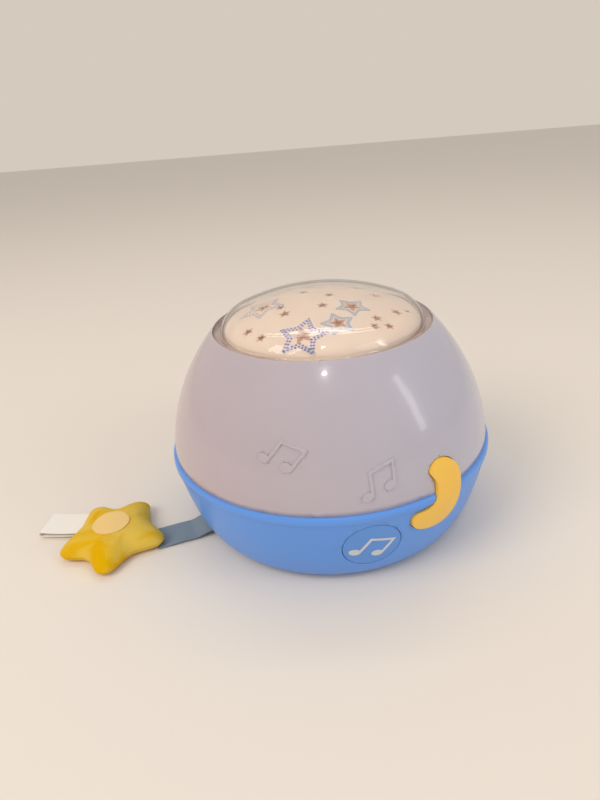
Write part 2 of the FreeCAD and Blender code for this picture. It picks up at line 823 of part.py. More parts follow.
def star_mask():
    """The domed star mask: an opaque crown pierced by star windows that aim at the lamp."""
    crown = capped(mask_top, mask_crown_radius, mask_shoulder_start, mask_middle, mask_round,
                   funnel_flange_top)
    share = 1 - sheet_wall / mask_crown_radius
    hollow = capped(mask_top - sheet_wall, mask_crown_radius * share, mask_shoulder_start * share,
                    mask_middle, mask_round - sheet_wall, funnel_flange_top)
    shell = crown.cut(hollow)
    shell = shell.fuse(ring(mask_reach - sheet_wall, flange_radius, funnel_flange_top,
                            mask_flange_top))
    lamp = Vector(0, 0, lamp_height + board_thickness + lamp_body)
    windows = []
    spread = mask_shoulder_start / window_field
    for x, y, size, turn in mask_windows:
        height = crown_height(mask_top, mask_crown_radius, math.hypot(x, y) * spread)
        centre = Vector(x * spread, y * spread, height)
        face = Part.Face(Part.makePolygon(star_points(size * spread, window_waist, turn, 0)))
        beam = centre - lamp
        beam.normalize()
        prism = face.extrude(UP * window_depth)
        prism.translate(Vector(0, 0, -window_depth / 2))
        aim = FreeCAD.Placement(centre, FreeCAD.Rotation(UP, beam))
        windows.append(placed(prism, aim))
    return shell.cut(windows)


def light_funnel():
    """The white cone that keeps the lamp's beam off the dome."""
    mouth_height = lamp_height + board_thickness + 1
    rim = ledge_inner - flange_clearance
    slope = (rim - funnel_mouth_radius) / (ledge_top - mouth_height)
    cone = spun(path([(funnel_mouth_radius, mouth_height), (rim, ledge_top),
                      (flange_radius, ledge_top), (flange_radius, funnel_flange_top),
                      (rim - sheet_wall, funnel_flange_top),
                      (funnel_mouth_radius - sheet_wall, mouth_height + sheet_wall / slope / 4),
                      (funnel_mouth_radius - sheet_wall, mouth_height),
                      (funnel_mouth_radius, mouth_height)]))
    return cone


def lamp_tower():
    """The hollow post that carries the lamp board over the battery bay."""
    foot_top = roof_top + tower_foot_height
    plate_low = lamp_height - tower_plate
    outer = path([(tower_upper_radius, plate_low), (lamp_board_radius, plate_low),
                  (lamp_board_radius, lamp_height), (0, lamp_height), (0, plate_low)])
    plate = spun(outer + path([(0, plate_low), (tower_upper_radius, plate_low)]))
    tube = spun(path([(tower_lower_radius, foot_top), (tower_upper_radius, plate_low),
                      (tower_upper_radius - tower_wall, plate_low),
                      (tower_lower_radius - tower_wall, foot_top),
                      (tower_lower_radius, foot_top)]))
    foot = ring(tower_lower_radius - tower_wall, tower_foot_radius, roof_top, foot_top)
    holes = [rod(small_screw_radius + small_hole_clearance, roof_top, foot_top, place)
             for place in tower_screw_places]
    return joined(foot, tube, plate).cut(holes)


def lamp_lens(radius, body, bottom, middle):
    """A round lamp with a flange and a rounded end."""
    lamp = rod(radius + lamp_flange_width, bottom, bottom + lamp_flange_height, middle)
    tip = Vector(middle.x, middle.y, bottom + body)
    lamp = lamp.fuse(rod(radius, bottom, bottom + body, middle))
    return joined(lamp, Part.makeSphere(radius, tip))


def battery_cells():
    """Three cells side by side, every other one turned round."""
    cells = []
    for step, middle in enumerate(cell_middles):
        length = cell_length
        start = bay_y[0] + contact_room
        cell = Part.makeCylinder(cell_radius, length, Vector(0, start, 0), Vector(0, 1, 0))
        nipple = Part.makeCylinder(cell_nipple_radius, cell_nipple_height,
                                   Vector(0, start + length, 0), Vector(0, 1, 0))
        cell = cell.fuse(nipple)
        if step % 2:
            cell.rotate(Vector(0, bay_middle_y, 0), UP, 180)
        cell.translate(Vector(middle, 0, cell_axis))
        cells.append(cell)
    return Part.makeCompound(cells)


def contact_plates():
    """Spring-steel plates at both ends of each cell."""
    half = contact_plate_width / 2
    plates = []
    for middle in cell_middles:
        for edge, inner in ((bay_y[0], bay_y[0] + contact_plate_thickness),
                            (bay_y[1] - contact_plate_thickness, bay_y[1])):
            plates.append(block((middle - half, middle + half), (edge, inner),
                                (cell_axis - half, bay_top)))
    return Part.makeCompound(plates)


def contact_springs():
    """A short coil at the flat end of each cell."""
    springs = []
    room = contact_room - contact_plate_thickness
    height = room - 2 * coil_wire - 2 * coil_clearance
    for step, middle in enumerate(cell_middles):
        side = 1 if step % 2 else -1
        helix = Part.makeLongHelix(height / coil_turns, height, coil_radius)
        circle = Part.Circle(Vector(coil_radius, 0, 0), Vector(0, 1, 0), coil_wire)
        pipe = Part.Wire(helix).makePipeShell([Part.Wire(circle.toShape())], True, True)
        seat_depth = contact_plate_thickness + coil_wire + coil_clearance
        start = bay_middle_y + side * (bay_length / 2 - seat_depth)
        seat = FreeCAD.Placement(Vector(middle, start, cell_axis),
                                 FreeCAD.Rotation(UP, Vector(0, -side, 0)))
        springs.append(placed(pipe, seat))
    return Part.makeCompound(springs)


def battery_door():
    """The flat battery door: a plate with a screw ear, two tongues and two locating ribs."""
    pieces = door_tongues(0)
    half = bay_length / 3
    for wall, inward in ((bay_x[0], 1), (bay_x[1], -1)):
        near = wall + inward * door_gap
        span = sorted((near, near + inward * door_rib_thickness))
        pieces.append(block(span, (bay_middle_y - half, bay_middle_y + half),
                            (door_top, door_top + door_rib_height)))
    door = joined(door_outline(0, stand_ring_depth, door_top), *pieces)
    return door.cut(rod(screw_radius + small_hole_clearance, stand_ring_depth, door_top,
                        door_screw_place))


def screw(place, head_low, head_radius, head_height, shank_radius, length):
    """A pan-head screw driven upwards: its head lies under its shank."""
    head_top = head_low + head_height
    head = rod(head_radius, head_low, head_top, place)
    return joined(head, rod(shank_radius, head_top, head_top + length, place))


def door_screw():
    """The screw that keeps the battery door shut."""
    return screw(door_screw_place, stand_ring_depth - door_screw_head_height,
                 door_screw_head_radius, door_screw_head_height, screw_radius,
                 door_thickness + door_screw_length - 1)


def housing_screws():
    """Four long screws that hold the dome down through the posts of the base."""
    low = counterbore_top - screw_head_height
    return Part.makeCompound([screw(place, low, screw_head_radius, screw_head_height,
                                    screw_radius, screw_length) for place in screw_places])


def small_screws(places, seat, length):
    """Small screws driven downwards, their heads on a seat."""
    screws = []
    for place in places:
        head = rod(small_screw_head, seat, seat + small_screw_head_height, place)
        screws.append(joined(head, rod(small_screw_radius, seat - length, seat, place)))
    return Part.makeCompound(screws)


def speaker_frame():
    """The pressed basket of the loudspeaker, its rim on the floor of the base."""
    rim_top = floor_top + speaker_rim_height
    basket_top = rim_top + speaker_basket_depth
    inner = speaker_radius - speaker_rim_width
    outline = [(speaker_radius, floor_top), (speaker_radius, rim_top), (inner, rim_top),
               (magnet_radius, basket_top), (0, basket_top), (0, basket_top - speaker_wall),
               (magnet_radius - speaker_wall, basket_top - speaker_wall),
               (inner - speaker_wall, rim_top - speaker_wall), (inner - speaker_wall, floor_top),
               (speaker_radius, floor_top)]
    frame = spun(path(outline))
    frame.translate(speaker_place)
    return frame


def speaker_cone():
    """The paper cone and its dust cap, inside the basket."""
    basket_top = floor_top + speaker_rim_height + speaker_basket_depth
    outer = speaker_radius - speaker_rim_width - speaker_wall - cone_gap
    throat = magnet_radius - speaker_wall - 2 * cone_gap
    low = floor_top + cone_gap
    high = basket_top - speaker_wall - cone_gap
    cap = low + (high - low) / 3
    outline = [(outer, low), (outer, low + cone_gap), (throat, high), (0, high),
               (0, cap), (throat / 2, cap), (throat, high - 2 * cone_gap),
               (outer - 2 * cone_gap, low), (outer, low)]
    cone = spun(path(outline))
    cone.translate(speaker_place)
    return cone


def speaker_magnet():
    """The magnet on the back of the basket."""
    low = floor_top + speaker_rim_height + speaker_basket_depth
    return rod(magnet_radius - speaker_wall, low, low + magnet_height, speaker_place)


def speaker_clamps():
    """Three flat clips that hold the loudspeaker's rim down."""
    low = floor_top + speaker_rim_height
    high = low + clamp_thickness
    clips = []
    for turn in clamp_turns:
        clip = block((speaker_radius - speaker_rim_width / 2,
                      clamp_screw_circle_radius + clamp_width),
                     (-clamp_width, clamp_width), (low, high))
        hole = rod(small_screw_radius + small_hole_clearance, low, high,
                   Vector(clamp_screw_circle_radius, 0, 0))
        clip = clip.cut(hole)
        clip.rotate(Vector(0, 0, 0), UP, turn - 90)
        clip.translate(speaker_place)
        clips.append(clip)
    return Part.makeCompound(clips)


def main_board():
    """The electronics board on four posts of the battery bay."""
    board = block(board_x, board_y, (board_bottom, board_bottom + board_thickness))
    holes = [rod(small_screw_radius + small_hole_clearance, board_bottom,
                 board_bottom + board_thickness, place) for place in board_places]
    return board.cut(holes)


def board_parts():
    """What the electronics board carries: two chips, two capacitors and three sockets."""
    top = board_bottom + board_thickness
    middle_y = (board_y[0] + board_y[1]) / 2
    parts = []
    for x, y, width, height in ((0, chip_shift, chip_width, chip_height),
                                (small_chip_x, small_chip_shift, small_chip_width,
                                 small_chip_height)):
        parts.append(block((x - width / 2, x + width / 2),
                           (middle_y + y - width / 2, middle_y + y + width / 2),
                           (top, top + height)))
    for side in (-0.5, 0.5):
        place = Vector(capacitor_x, middle_y + capacitor_shift + side * capacitor_spacing, 0)
        parts.append(rod(capacitor_radius, top, top + capacitor_height, place))
    near = board_y[0] + socket_inset
    for step in range(socket_count):
        middle = (step - (socket_count - 1) / 2) * socket_spacing
        low = middle - socket_width / 2
        high = middle + socket_width / 2
        socket = block((low, high), (near, near + socket_depth), (top, top + socket_height))
        slot = block((low + socket_wall, high - socket_wall),
                     (near, near + socket_depth - socket_wall),
                     (top + socket_wall, top + socket_height - socket_wall))
        parts.append(socket.cut(slot))
    return Part.makeCompound(parts)


def lamp_board():
    """The round aluminium board on top of the tower."""
    return ring(0, lamp_board_radius, lamp_height, lamp_height + board_thickness)


def beam_lamp():
    """The bright lamp in the middle, which throws the stars."""
    return lamp_lens(lamp_radius, lamp_body, lamp_height + board_thickness, Vector(0, 0, 0))


def glow_lamps():
    """Small coloured lamps round the bright one, which light the dome itself."""
    top = lamp_height + board_thickness
    return Part.makeCompound([lamp_lens(glow_lamp_radius, glow_lamp_height, top,
                                        polar(360 / glow_lamp_count * step, glow_lamp_circle_radius, 0))
                              for step in range(glow_lamp_count)])


def rubber_feet():
    """Four round rubber pads glued into the underside, level with the stand ring."""
    return Part.makeCompound([rod(pad_radius, 0, stand_ring_depth + pad_sink, place)
                              for place in pad_places])


def note_inlay():
    """The white pair of notes let into the face of the sound button."""
    skin = bowl_body(inlay_proud).cut(bowl_body(-inlay_depth))
    return note_prism(button_note_tilt, sound_frame, note_root, note_reach).common(skin)


def sound_button():
    """The round button, its face following the bowl, with a flange that keeps it in."""
    face = placed(local_rod(sound_radius, -sound_radius, sound_back), sound_frame)
    face = face.common(bowl_body(0))
    flange = local_rod(sound_radius + sound_flange, sound_back - flange_thickness, sound_back)
    stem = local_rod(stem_radius, sound_back - flange_thickness, sound_back + stem_length)
    button = joined(face, placed(flange, sound_frame), placed(stem, sound_frame))
    return button.cut(note_inlay())


def moon_button():
    """The hollow crescent button across dome and lip, with a flange that keeps it in."""
    cap = moon_prism(0, moon_back, moon_skin_top + 1).common(moon_skin())
    flange = moon_prism(moon_flange, moon_back, moon_back + flange_thickness)
    hollow = moon_prism(-moon_shell, moon_back, moon_skin_top - moon_roof)
    stem = placed(local_rod(stem_radius, moon_roof - moon_skin_top - 1, moon_depth + stem_length),
                  moon_push)
    return cap.fuse(flange).cut(hollow).fuse(stem)


def plunger(start, frame):
    """The pin of a push switch, which rides on its button's stem."""
    near = switch_depths(start)[0]
    return placed(local_rod(plunger_radius, near, near + plunger_length), frame)


def push_switch(start, frame):
    """The body of a push switch, with the bore that its pin slides in."""
    near, far = switch_depths(start)[1:3]
    body = local_block(switch_size, switch_size, near, far)
    bore = local_rod(plunger_radius + plunger_clearance, near, far - switch_gap)
    return placed(body.cut(bore), frame)


def switch_board(start, frame):
    """The small board that carries a push switch, flat on its upright rib."""
    near, far = switch_depths(start)[2:4]
    return placed(local_block(switch_board_width - 2, switch_board_height - 1, near, far), frame)


def ribbon_tail():
    """The end of the ribbon inside the foot, from its clamp through the slot."""
    half = ribbon_thickness / 2
    end = ribbon_pivot - half - ribbon_joint_gap
    return ribbon_box(ribbon_tail_start, end, ribbon_middle - half, ribbon_middle + half,
                      ribbon_width)


def ribbon_clamp():
    """The bar that screws down over the ribbon's end."""
    low = ribbon_middle + ribbon_thickness / 2
    half = ribbon_clamp_length / 2
    bar = ribbon_box(clamp_middle - half, clamp_middle + half, low, low + ribbon_clamp_thickness,
                     2 * (clamp_screw_offset + small_screw_head + small_screw_margin))
    return bar.cut([rod(small_screw_radius + small_hole_clearance, low,
                        low + ribbon_clamp_thickness, place) for place in ribbon_clamp_places])


def ribbon():
    """The free ribbon: it bends round its pivot, drops to the table and runs to the star."""
    start = ribbon_pivot
    floor = floor_clearance + ribbon_thickness / 2
    fall = ribbon_middle - floor
    line = [(start, ribbon_middle), (start + ribbon_drop_length * 0.35, floor + fall * 0.72),
            (start + ribbon_drop_length * 0.75, floor + fall * 0.14),
            (start + ribbon_drop_length, floor), (start + ribbon_reach, floor)]
    half = ribbon_thickness / 2
    under = smooth_strip([(x, z - half) for x, z in line[:4]])
    over = smooth_strip([(x, z + half) for x, z in line[:4]])
    flat = path([(line[3][0], floor - half), (line[4][0], floor - half),
                 (line[4][0], floor + half), (line[3][0], floor + half)])
    end = path([(start, ribbon_middle + half), (start, ribbon_middle - half)])
    face = Part.Face(Part.Wire(Part.sortEdges([under, over] + flat + end)[0]))
    bend = Part.makeCylinder(half, ribbon_width, Vector(start, 0, ribbon_middle), Vector(0, 1, 0))
    strip = joined(face.extrude(Vector(0, ribbon_width, 0)), bend)
    strip.translate(Vector(0, -ribbon_width / 2, 0))
    strip.rotate(Vector(0, 0, 0), UP, ribbon_azimuth - 90)
    return strip.cut(plush_body())


def smooth_strip(points):
    """A smooth edge that ends level, through points given as radius and height."""
    curve = Part.BSplineCurve()
    corners = [Vector(radius, 0, height) for radius, height in points]
    curve.interpolate(corners, InitialTangent=Vector(1, 0, -0.1), FinalTangent=Vector(1, 0, 0))
    return curve.toShape()


# Tips of the plush star as it lies: direction on the plan and reach from its middle
star_tips = [(-13.0, 39.0), (69.0, 40.5), (126.0, 40.0), (212.0, 37.5), (275.0, 41.5)]
star_middle = polar(star_azimuth, ribbon_pivot + star_offset, 0)
# Its filling, from the underside to the top: share of the height and of the outline
star_levels = [(0.0, 0.88), (0.10, 0.96), (0.26, 1.0), (0.52, 0.95), (0.77, 0.80),
               (0.93, 0.57), (1.0, 0.28)]


def rounded_outline(corners, rounds, height):
    """A closed outline of straight runs and tangent arcs, one arc for each corner."""
    count = len(corners)
    runs = []
    for step, corner in enumerate(corners):
        back = (corners[step - 1] - corner).normalize()
        ahead = (corners[(step + 1) % count] - corner).normalize()
        half = back.getAngle(ahead) / 2
        reach = rounds[step] / math.tan(half)
        middle = corner + (back + ahead).normalize() * (rounds[step] / math.sin(half))
        crest = middle + (corner - middle).normalize() * rounds[step]
        runs.append((corner + back * reach, crest, corner + ahead * reach))
    edges = []
    for step, (start, crest, end) in enumerate(runs):
        edges.append(Part.Arc(start, crest, end).toShape())
        edges.append(Part.makeLine(end, runs[(step + 1) % count][0]))
    wire = Part.Wire(edges)
    wire.translate(Vector(0, 0, height))
    return wire


def plush_body():
    """The stuffed star: a loft whose arms swell from the seam and taper to their tips."""
    corners = []
    rounds = []
    for step, (angle, reach) in enumerate(star_tips):
        following = star_tips[(step + 1) % len(star_tips)][0]
        gap = (following - angle) % 360
        for turn, distance, round_radius in ((angle, reach + star_tip_round * 0.35, star_tip_round),
                                             (angle + gap / 2, star_valley_reach,
                                              star_valley_round)):
            way = math.radians(turn)
            corners.append(Vector(distance * math.cos(way), distance * math.sin(way), 0))
            rounds.append(round_radius)
    wires = []
    for rise, share in star_levels:
        wires.append(rounded_outline([corner * share for corner in corners],
                                     [size * share for size in rounds],
                                     floor_clearance + rise * star_height))
    body = Part.makeLoft(wires, True, False)
    body.translate(star_middle)
    return body


def star_patch():
    """The smooth round patch on the middle of the star."""
    top = floor_clearance + star_height
    disc = rod(patch_radius, top - 3 * patch_thickness, top + patch_thickness, star_middle)
    crown_radius = patch_radius ** 2 / patch_thickness
    crown = Part.makeSphere(crown_radius, star_middle + UP * (top + patch_thickness - crown_radius))
    return disc.common(crown).cut(plush_body())


def care_label():
    """The bare folded label sewn into the star's seam."""
    half = label_thickness / 2
    label = block((label_offset - label_length / 2, label_offset + label_length / 2),
                  (-label_width / 2, label_width / 2), (label_height - half, label_height + half))
    label.rotate(Vector(0, 0, 0), UP, label_turn)
    label.translate(star_middle + Vector(0, label_side, 0))
    pieces = label.cut(plush_body()).Solids
    return max(pieces, key=lambda piece: piece.Volume)


nodes = {
    "base_shell": base_shell(),
    "dome_shell": dome_shell(),
    "clear_cover": clear_cover(),
    "star_mask": star_mask(),
    "light_funnel": light_funnel(),
    "lamp_tower": lamp_tower(),
    "lamp_board": lamp_board(),
    "beam_lamp": beam_lamp(),
    "glow_lamps": glow_lamps(),
    "tower_screws": small_screws(tower_screw_places, roof_top + tower_foot_height,
                                 tower_screw_length),
    "main_board": main_board(),
    "board_parts": board_parts(),
    "board_screws": small_screws(board_places, board_bottom + board_thickness,
                                 board_screw_length),
    "speaker_frame": speaker_frame(),
    "speaker_cone": speaker_cone(),
    "speaker_magnet": speaker_magnet(),
    "speaker_clamps": speaker_clamps(),
    "clamp_screws": small_screws(clamp_places,
                                 floor_top + speaker_rim_height + clamp_thickness,
                                 clamp_screw_length),
    "battery_cells": battery_cells(),
    "contact_plates": contact_plates(),
    "contact_springs": contact_springs(),
    "battery_door": battery_door(),
    "door_screw": door_screw(),
    "housing_screws": housing_screws(),
    "rubber_feet": rubber_feet(),
    "sound_button": sound_button(),
    "note_inlay": note_inlay(),
    "sound_plunger": plunger(sound_back, sound_frame),
    "sound_switch": push_switch(sound_back, sound_frame),
    "sound_switch_board": switch_board(sound_back, sound_frame),
    "moon_button": moon_button(),
    "moon_plunger": plunger(moon_depth, moon_push),
    "moon_switch": push_switch(moon_depth, moon_push),
    "moon_switch_board": switch_board(moon_depth, moon_push),
    "ribbon_tail": ribbon_tail(),
    "ribbon_clamp": ribbon_clamp(),
    "ribbon_clamp_screws": small_screws(
        ribbon_clamp_places, ribbon_middle + ribbon_thickness / 2 + ribbon_clamp_thickness,
        ribbon_screw_length),
    "ribbon": ribbon(),
    "plush_star": plush_body(),
    "star_patch": star_patch(),
    "care_label": care_label(),
}
for name, shape in nodes.items():
    shape.exportStep("parts/" + name + ".step")
    print(name, shape.isValid(), len(shape.Solids), round(shape.Volume, 1))
print("ribbon pivot radius", round(ribbon_pivot, 4), "height", ribbon_middle)
print("sound button tilt", round(sound_tilt, 4))
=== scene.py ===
import bpy
import math
from mathutils import Matrix, Vector


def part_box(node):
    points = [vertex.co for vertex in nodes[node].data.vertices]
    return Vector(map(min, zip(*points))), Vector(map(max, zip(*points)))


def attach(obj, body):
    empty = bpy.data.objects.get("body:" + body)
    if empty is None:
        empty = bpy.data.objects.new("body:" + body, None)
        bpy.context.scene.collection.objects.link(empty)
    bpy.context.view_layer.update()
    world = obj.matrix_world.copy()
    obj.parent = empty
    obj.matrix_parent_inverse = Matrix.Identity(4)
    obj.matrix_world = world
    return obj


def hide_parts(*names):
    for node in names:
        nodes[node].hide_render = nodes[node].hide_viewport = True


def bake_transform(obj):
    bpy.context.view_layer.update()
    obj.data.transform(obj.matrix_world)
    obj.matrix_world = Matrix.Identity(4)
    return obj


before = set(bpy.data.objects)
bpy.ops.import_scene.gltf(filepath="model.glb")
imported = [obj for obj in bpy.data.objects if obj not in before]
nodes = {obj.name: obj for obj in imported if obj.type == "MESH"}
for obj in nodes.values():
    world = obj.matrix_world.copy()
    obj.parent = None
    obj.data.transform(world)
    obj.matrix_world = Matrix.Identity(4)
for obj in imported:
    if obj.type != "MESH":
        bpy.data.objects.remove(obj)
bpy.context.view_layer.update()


# The camera stands in front of the lamp and a little over it, at the height
# of someone who leans over the table. It is level but for a slight roll.
camera_place = Vector((0.0, -0.3453, 0.2416))
camera_right = Vector((0.99710, 0.01226, -0.07501))
camera_up = Vector((0.06210, 0.43757, 0.89703))
camera_back = camera_right.cross(camera_up)
bpy.ops.object.select_all(action="DESELECT")
bpy.ops.object.camera_add(location=camera_place)
camera = bpy.context.object
camera.rotation_euler = Matrix((camera_right, camera_up, camera_back)).transposed().to_euler()
camera.data.sensor_width = 36.0
camera.data.lens = 27.05
camera.data.clip_start = 0.01
bpy.context.scene.camera = camera
bpy.context.scene.view_settings.view_transform = "Standard"


# The table is pale and plain. The light is a soft window high on the left, a dimmer
# tall one on the right, a long ceiling lamp and one small round lamp in front.
def lamp(name, size, place, target, power, colour, height=None, mirrored=True):
    """An area light at a place, aimed at a target; it can be left out of reflections."""
    bpy.ops.object.light_add(type="AREA", location=place)
    light = bpy.context.object
    light.name = name
    light.rotation_euler = (Vector(place) - Vector(target)).to_track_quat("Z", "Y").to_euler()
    light.data.shape = "RECTANGLE" if height else "DISK"
    light.data.size = size
    if height:
        light.data.size_y = height
    light.data.energy = power
    light.data.color = colour
    light.visible_glossy = mirrored


lamp_middle = (0.0, 0.0, 0.09)
lamp("left_window", 0.9, (-1.05, -0.85, 1.25), lamp_middle, 12.0, (1.0, 0.94, 0.87), height=0.9,
     mirrored=False)
lamp("right_window", 0.13, (1.20, -0.50, 0.62), lamp_middle, 1.1, (0.93, 0.96, 1.0), height=0.75)
lamp("right_fill", 0.9, (1.20, -0.70, 0.80), lamp_middle, 4.0, (0.90, 0.95, 1.0), height=0.9,
     mirrored=False)
lamp("ceiling_lamp", 1.45, (0.0, 0.59, 1.35), (0.0, -0.05, 0.14), 1.7, (1.0, 0.98, 0.97), height=0.075)
lamp("round_lamp", 0.10, (0.0, -1.10, 1.72), lamp_middle, 1.6, (1.0, 0.96, 0.90))

def feed(tree, socket, value):
    """Links a socket to another one, or sets it to a number or a colour."""
    if isinstance(value, bpy.types.NodeSocket):
        tree.links.new(value, socket)
    else:
        socket.default_value = value


def maths(tree, operation, *values):
    """The result of a maths node whose values are numbers or sockets."""
    node = tree.nodes.new("ShaderNodeMath")
    node.operation = operation
    for socket, value in zip(node.inputs, values):
        feed(tree, socket, value)
    return node.outputs["Value"]


# What is seen of the room is a plain pale wall, and what lights the lamp is a greyer one.
world = bpy.data.worlds.new("room")
bpy.context.scene.world = world
world.use_nodes = True
air = world.node_tree
air.nodes.clear()
air_out = air.nodes.new("ShaderNodeOutputWorld")
air_mix = air.nodes.new("ShaderNodeMixShader")
air_seen = air.nodes.new("ShaderNodeBackground")
air_light = air.nodes.new("ShaderNodeBackground")
air_path = air.nodes.new("ShaderNodeLightPath")
air_seen.inputs["Color"].default_value = (0.66, 0.59, 0.51, 1)
air_light.inputs["Color"].default_value = (0.80, 0.77, 0.75, 1)
air_light.inputs["Strength"].default_value = 0.72
looked_at = maths(air, "MAXIMUM", air_path.outputs["Is Camera Ray"], air_path.outputs["Is Transmission Ray"])
looked_at = maths(air, "MAXIMUM", looked_at, air_path.outputs["Is Glossy Ray"])
feed(air, air_mix.inputs["Fac"], looked_at)
feed(air, air_mix.inputs[1], air_light.outputs["Background"])
feed(air, air_mix.inputs[2], air_seen.outputs["Background"])
feed(air, air_out.inputs["Surface"], air_mix.outputs["Shader"])


def set_shader(material, values):
    """Sets values on a material's main shader."""
    shader = material.node_tree.nodes["Principled BSDF"]
    for socket, value in values.items():
        shader.inputs[socket].default_value = value


def new_material(name, values):
    """A new node material with these values on its main shader."""
    material = bpy.data.materials.new(name)
    material.use_nodes = True
    set_shader(material, values)
    return material


bpy.ops.mesh.primitive_plane_add(size=8.0, location=(0, 0, 0))
table = bpy.context.object
table.name = "table_top"
table_paint = new_material("table_paint", {"Base Color": (0.85, 0.77, 0.68, 1), "Roughness": 0.75})
table.data.materials.append(table_paint)


# The base shell is one injection moulding in sky-blue plastic: bowl, rounded lip,
# stand ring and battery bay. The battery door is moulded in the same plastic.
def effect(name, inputs, outputs):
    """A new shader node group with named inputs and outputs, and its two end nodes."""
    group = bpy.data.node_groups.new(name, "ShaderNodeTree")
    for label, kind, value in inputs:
        socket = group.interface.new_socket(name=label, in_out="INPUT", socket_type=kind)
        socket.default_value = value
    for label, kind in outputs:
        group.interface.new_socket(name=label, in_out="OUTPUT", socket_type=kind)
    return group, group.nodes.new("NodeGroupInput"), group.nodes.new("NodeGroupOutput")


def noise(tree, place, scale, detail=2.0, distortion=0.0):
    """Soft random noise over the places that a socket gives."""
    cloud = tree.nodes.new("ShaderNodeTexNoise")
    cloud.inputs["Scale"].default_value = scale
    cloud.inputs["Detail"].default_value = detail
    cloud.inputs["Distortion"].default_value = distortion
    feed(tree, cloud.inputs["Vector"], place)
    return cloud.outputs["Fac"]


def bumps(tree, height, strength, distance):
    """A normal that follows a height; its strength is a number or a socket."""
    bump = tree.nodes.new("ShaderNodeBump")
    bump.inputs["Distance"].default_value = distance
    feed(tree, bump.inputs["Strength"], strength)
    feed(tree, bump.inputs["Height"], height)
    return bump.outputs["Normal"]


def moulded_finish():
    """Moulded plastic: a faint mottle in the colour, handling haze in the gloss, fine ripple."""
    group, start, end = effect(
        "moulded_finish",
        [("Colour", "NodeSocketColor", (1, 1, 1, 1)), ("Shift", "NodeSocketFloat", 0.04),
         ("Roughness", "NodeSocketFloat", 0.3), ("Haze", "NodeSocketFloat", 0.08),
         ("Ripple", "NodeSocketFloat", 0.1)],
        [("Colour", "NodeSocketColor"), ("Roughness", "NodeSocketFloat"),
         ("Normal", "NodeSocketVector")])
    place = group.nodes.new("ShaderNodeTexCoord").outputs["Object"]
    mottle = maths(group, "SUBTRACT", noise(group, place, 22.0, detail=3.0), 0.5)
    tint = group.nodes.new("ShaderNodeVectorMath")
    tint.operation = "SCALE"
    feed(group, tint.inputs[0], start.outputs["Colour"])
    feed(group, tint.inputs["Scale"], maths(group, "MULTIPLY_ADD", mottle, start.outputs["Shift"], 1.0))
    smear = noise(group, place, 60.0, detail=5.0, distortion=0.6)
    gloss = maths(group, "MULTIPLY_ADD", smear, start.outputs["Haze"], start.outputs["Roughness"])
    grain = noise(group, place, 900.0)
    feed(group, end.inputs["Colour"], tint.outputs["Vector"])
    feed(group, end.inputs["Roughness"], gloss)
    feed(group, end.inputs["Normal"], bumps(group, grain, start.outputs["Ripple"], 0.0002))
    return group


moulded = moulded_finish()


def plastic(name, colour, roughness, coat=0.0, haze=0.08, ripple=0.06, shift=0.06):
    """A moulded plastic: its colour, how rough it is and how much clear gloss lies on it."""
    material = new_material(name, {"Coat Weight": coat, "Coat Roughness": 0.06})
    tree = material.node_tree
    finish = tree.nodes.new("ShaderNodeGroup")
    finish.node_tree = moulded
    values = {"Colour": (*colour, 1), "Shift": shift, "Roughness": roughness, "Haze": haze, "Ripple": ripple}
    for socket, value in values.items():
        finish.inputs[socket].default_value = value
    shader = tree.nodes["Principled BSDF"]
    for socket, target in (("Colour", "Base Color"), ("Roughness", "Roughness"), ("Normal", "Normal")):
        feed(tree, shader.inputs[target], finish.outputs[socket])
    return material


def welded(node, name):
    """A copy of a CAD piece with its loose triangles merged, selected and active."""
    bpy.ops.object.select_all(action="DESELECT")
    piece = bpy.data.objects.new(name, nodes[node].data.copy())
    bpy.context.scene.collection.objects.link(piece)
    piece.select_set(True)
    bpy.context.view_layer.objects.active = piece
    bpy.ops.object.mode_set(mode="EDIT")
    bpy.ops.mesh.select_all(action="SELECT")
    bpy.ops.mesh.remove_doubles(threshold=0.000002)
    bpy.ops.object.mode_set(mode="OBJECT")
    piece.data.materials.clear()
    return piece


def apply_modifier(piece, name, kind, **settings):
    """Gives a piece a modifier with these settings and applies it."""
    modifier = piece.modifiers.new(name, kind)
    for setting, value in settings.items():
        setattr(modifier, setting, value)
    bpy.ops.object.modifier_apply(modifier=modifier.name)


def dress(node, material, body, bevel=0.0, flat_above=None):
    """A welded, smooth-shaded copy of a CAD piece in its own finish, which stands for the node.

    A bevel rounds its sharp edges. Over the height flat_above its small faces stay flat.
    """
    piece = welded(node, node + "_piece")
    piece.data.materials.append(material)
    if bevel:
        apply_modifier(piece, "rounding", "BEVEL", width=bevel, segments=3, limit_method="ANGLE",
                       angle_limit=math.radians(50))
    bpy.ops.object.shade_smooth_by_angle(angle=math.radians(32))
    if flat_above:
        for face in piece.data.polygons:
            if face.center.z > flat_above:
                face.use_smooth = False
    apply_modifier(piece, "even_shading", "WEIGHTED_NORMAL", keep_sharp=True)
    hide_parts(node)
    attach(piece, body)
    return piece


sky_blue = plastic("sky_blue_moulding", (0.113, 0.310, 0.800), 0.34, coat=0.12, haze=0.10)
dress("base_shell", sky_blue, "housing")
dress("battery_door", sky_blue, "housing")


# Four soft rubber pads are glued into the underside, and the screws that close
# the housing and the battery door are zinc-plated steel with dulled heads.
foot_rubber = plastic("foot_rubber", (0.035, 0.040, 0.048), 0.72, haze=0.15, ripple=0.6, shift=0.2)
screw_steel = plastic("zinc_plate", (0.55, 0.56, 0.58), 0.28, haze=0.22, ripple=0.1)
set_shader(screw_steel, {"Metallic": 1.0})
dress("rubber_feet", foot_rubber, "housing")
for screws in ("housing_screws", "door_screw", "tower_screws", "board_screws", "clamp_screws",
               "ribbon_clamp_screws"):
    dress(screws, screw_steel, "housing")


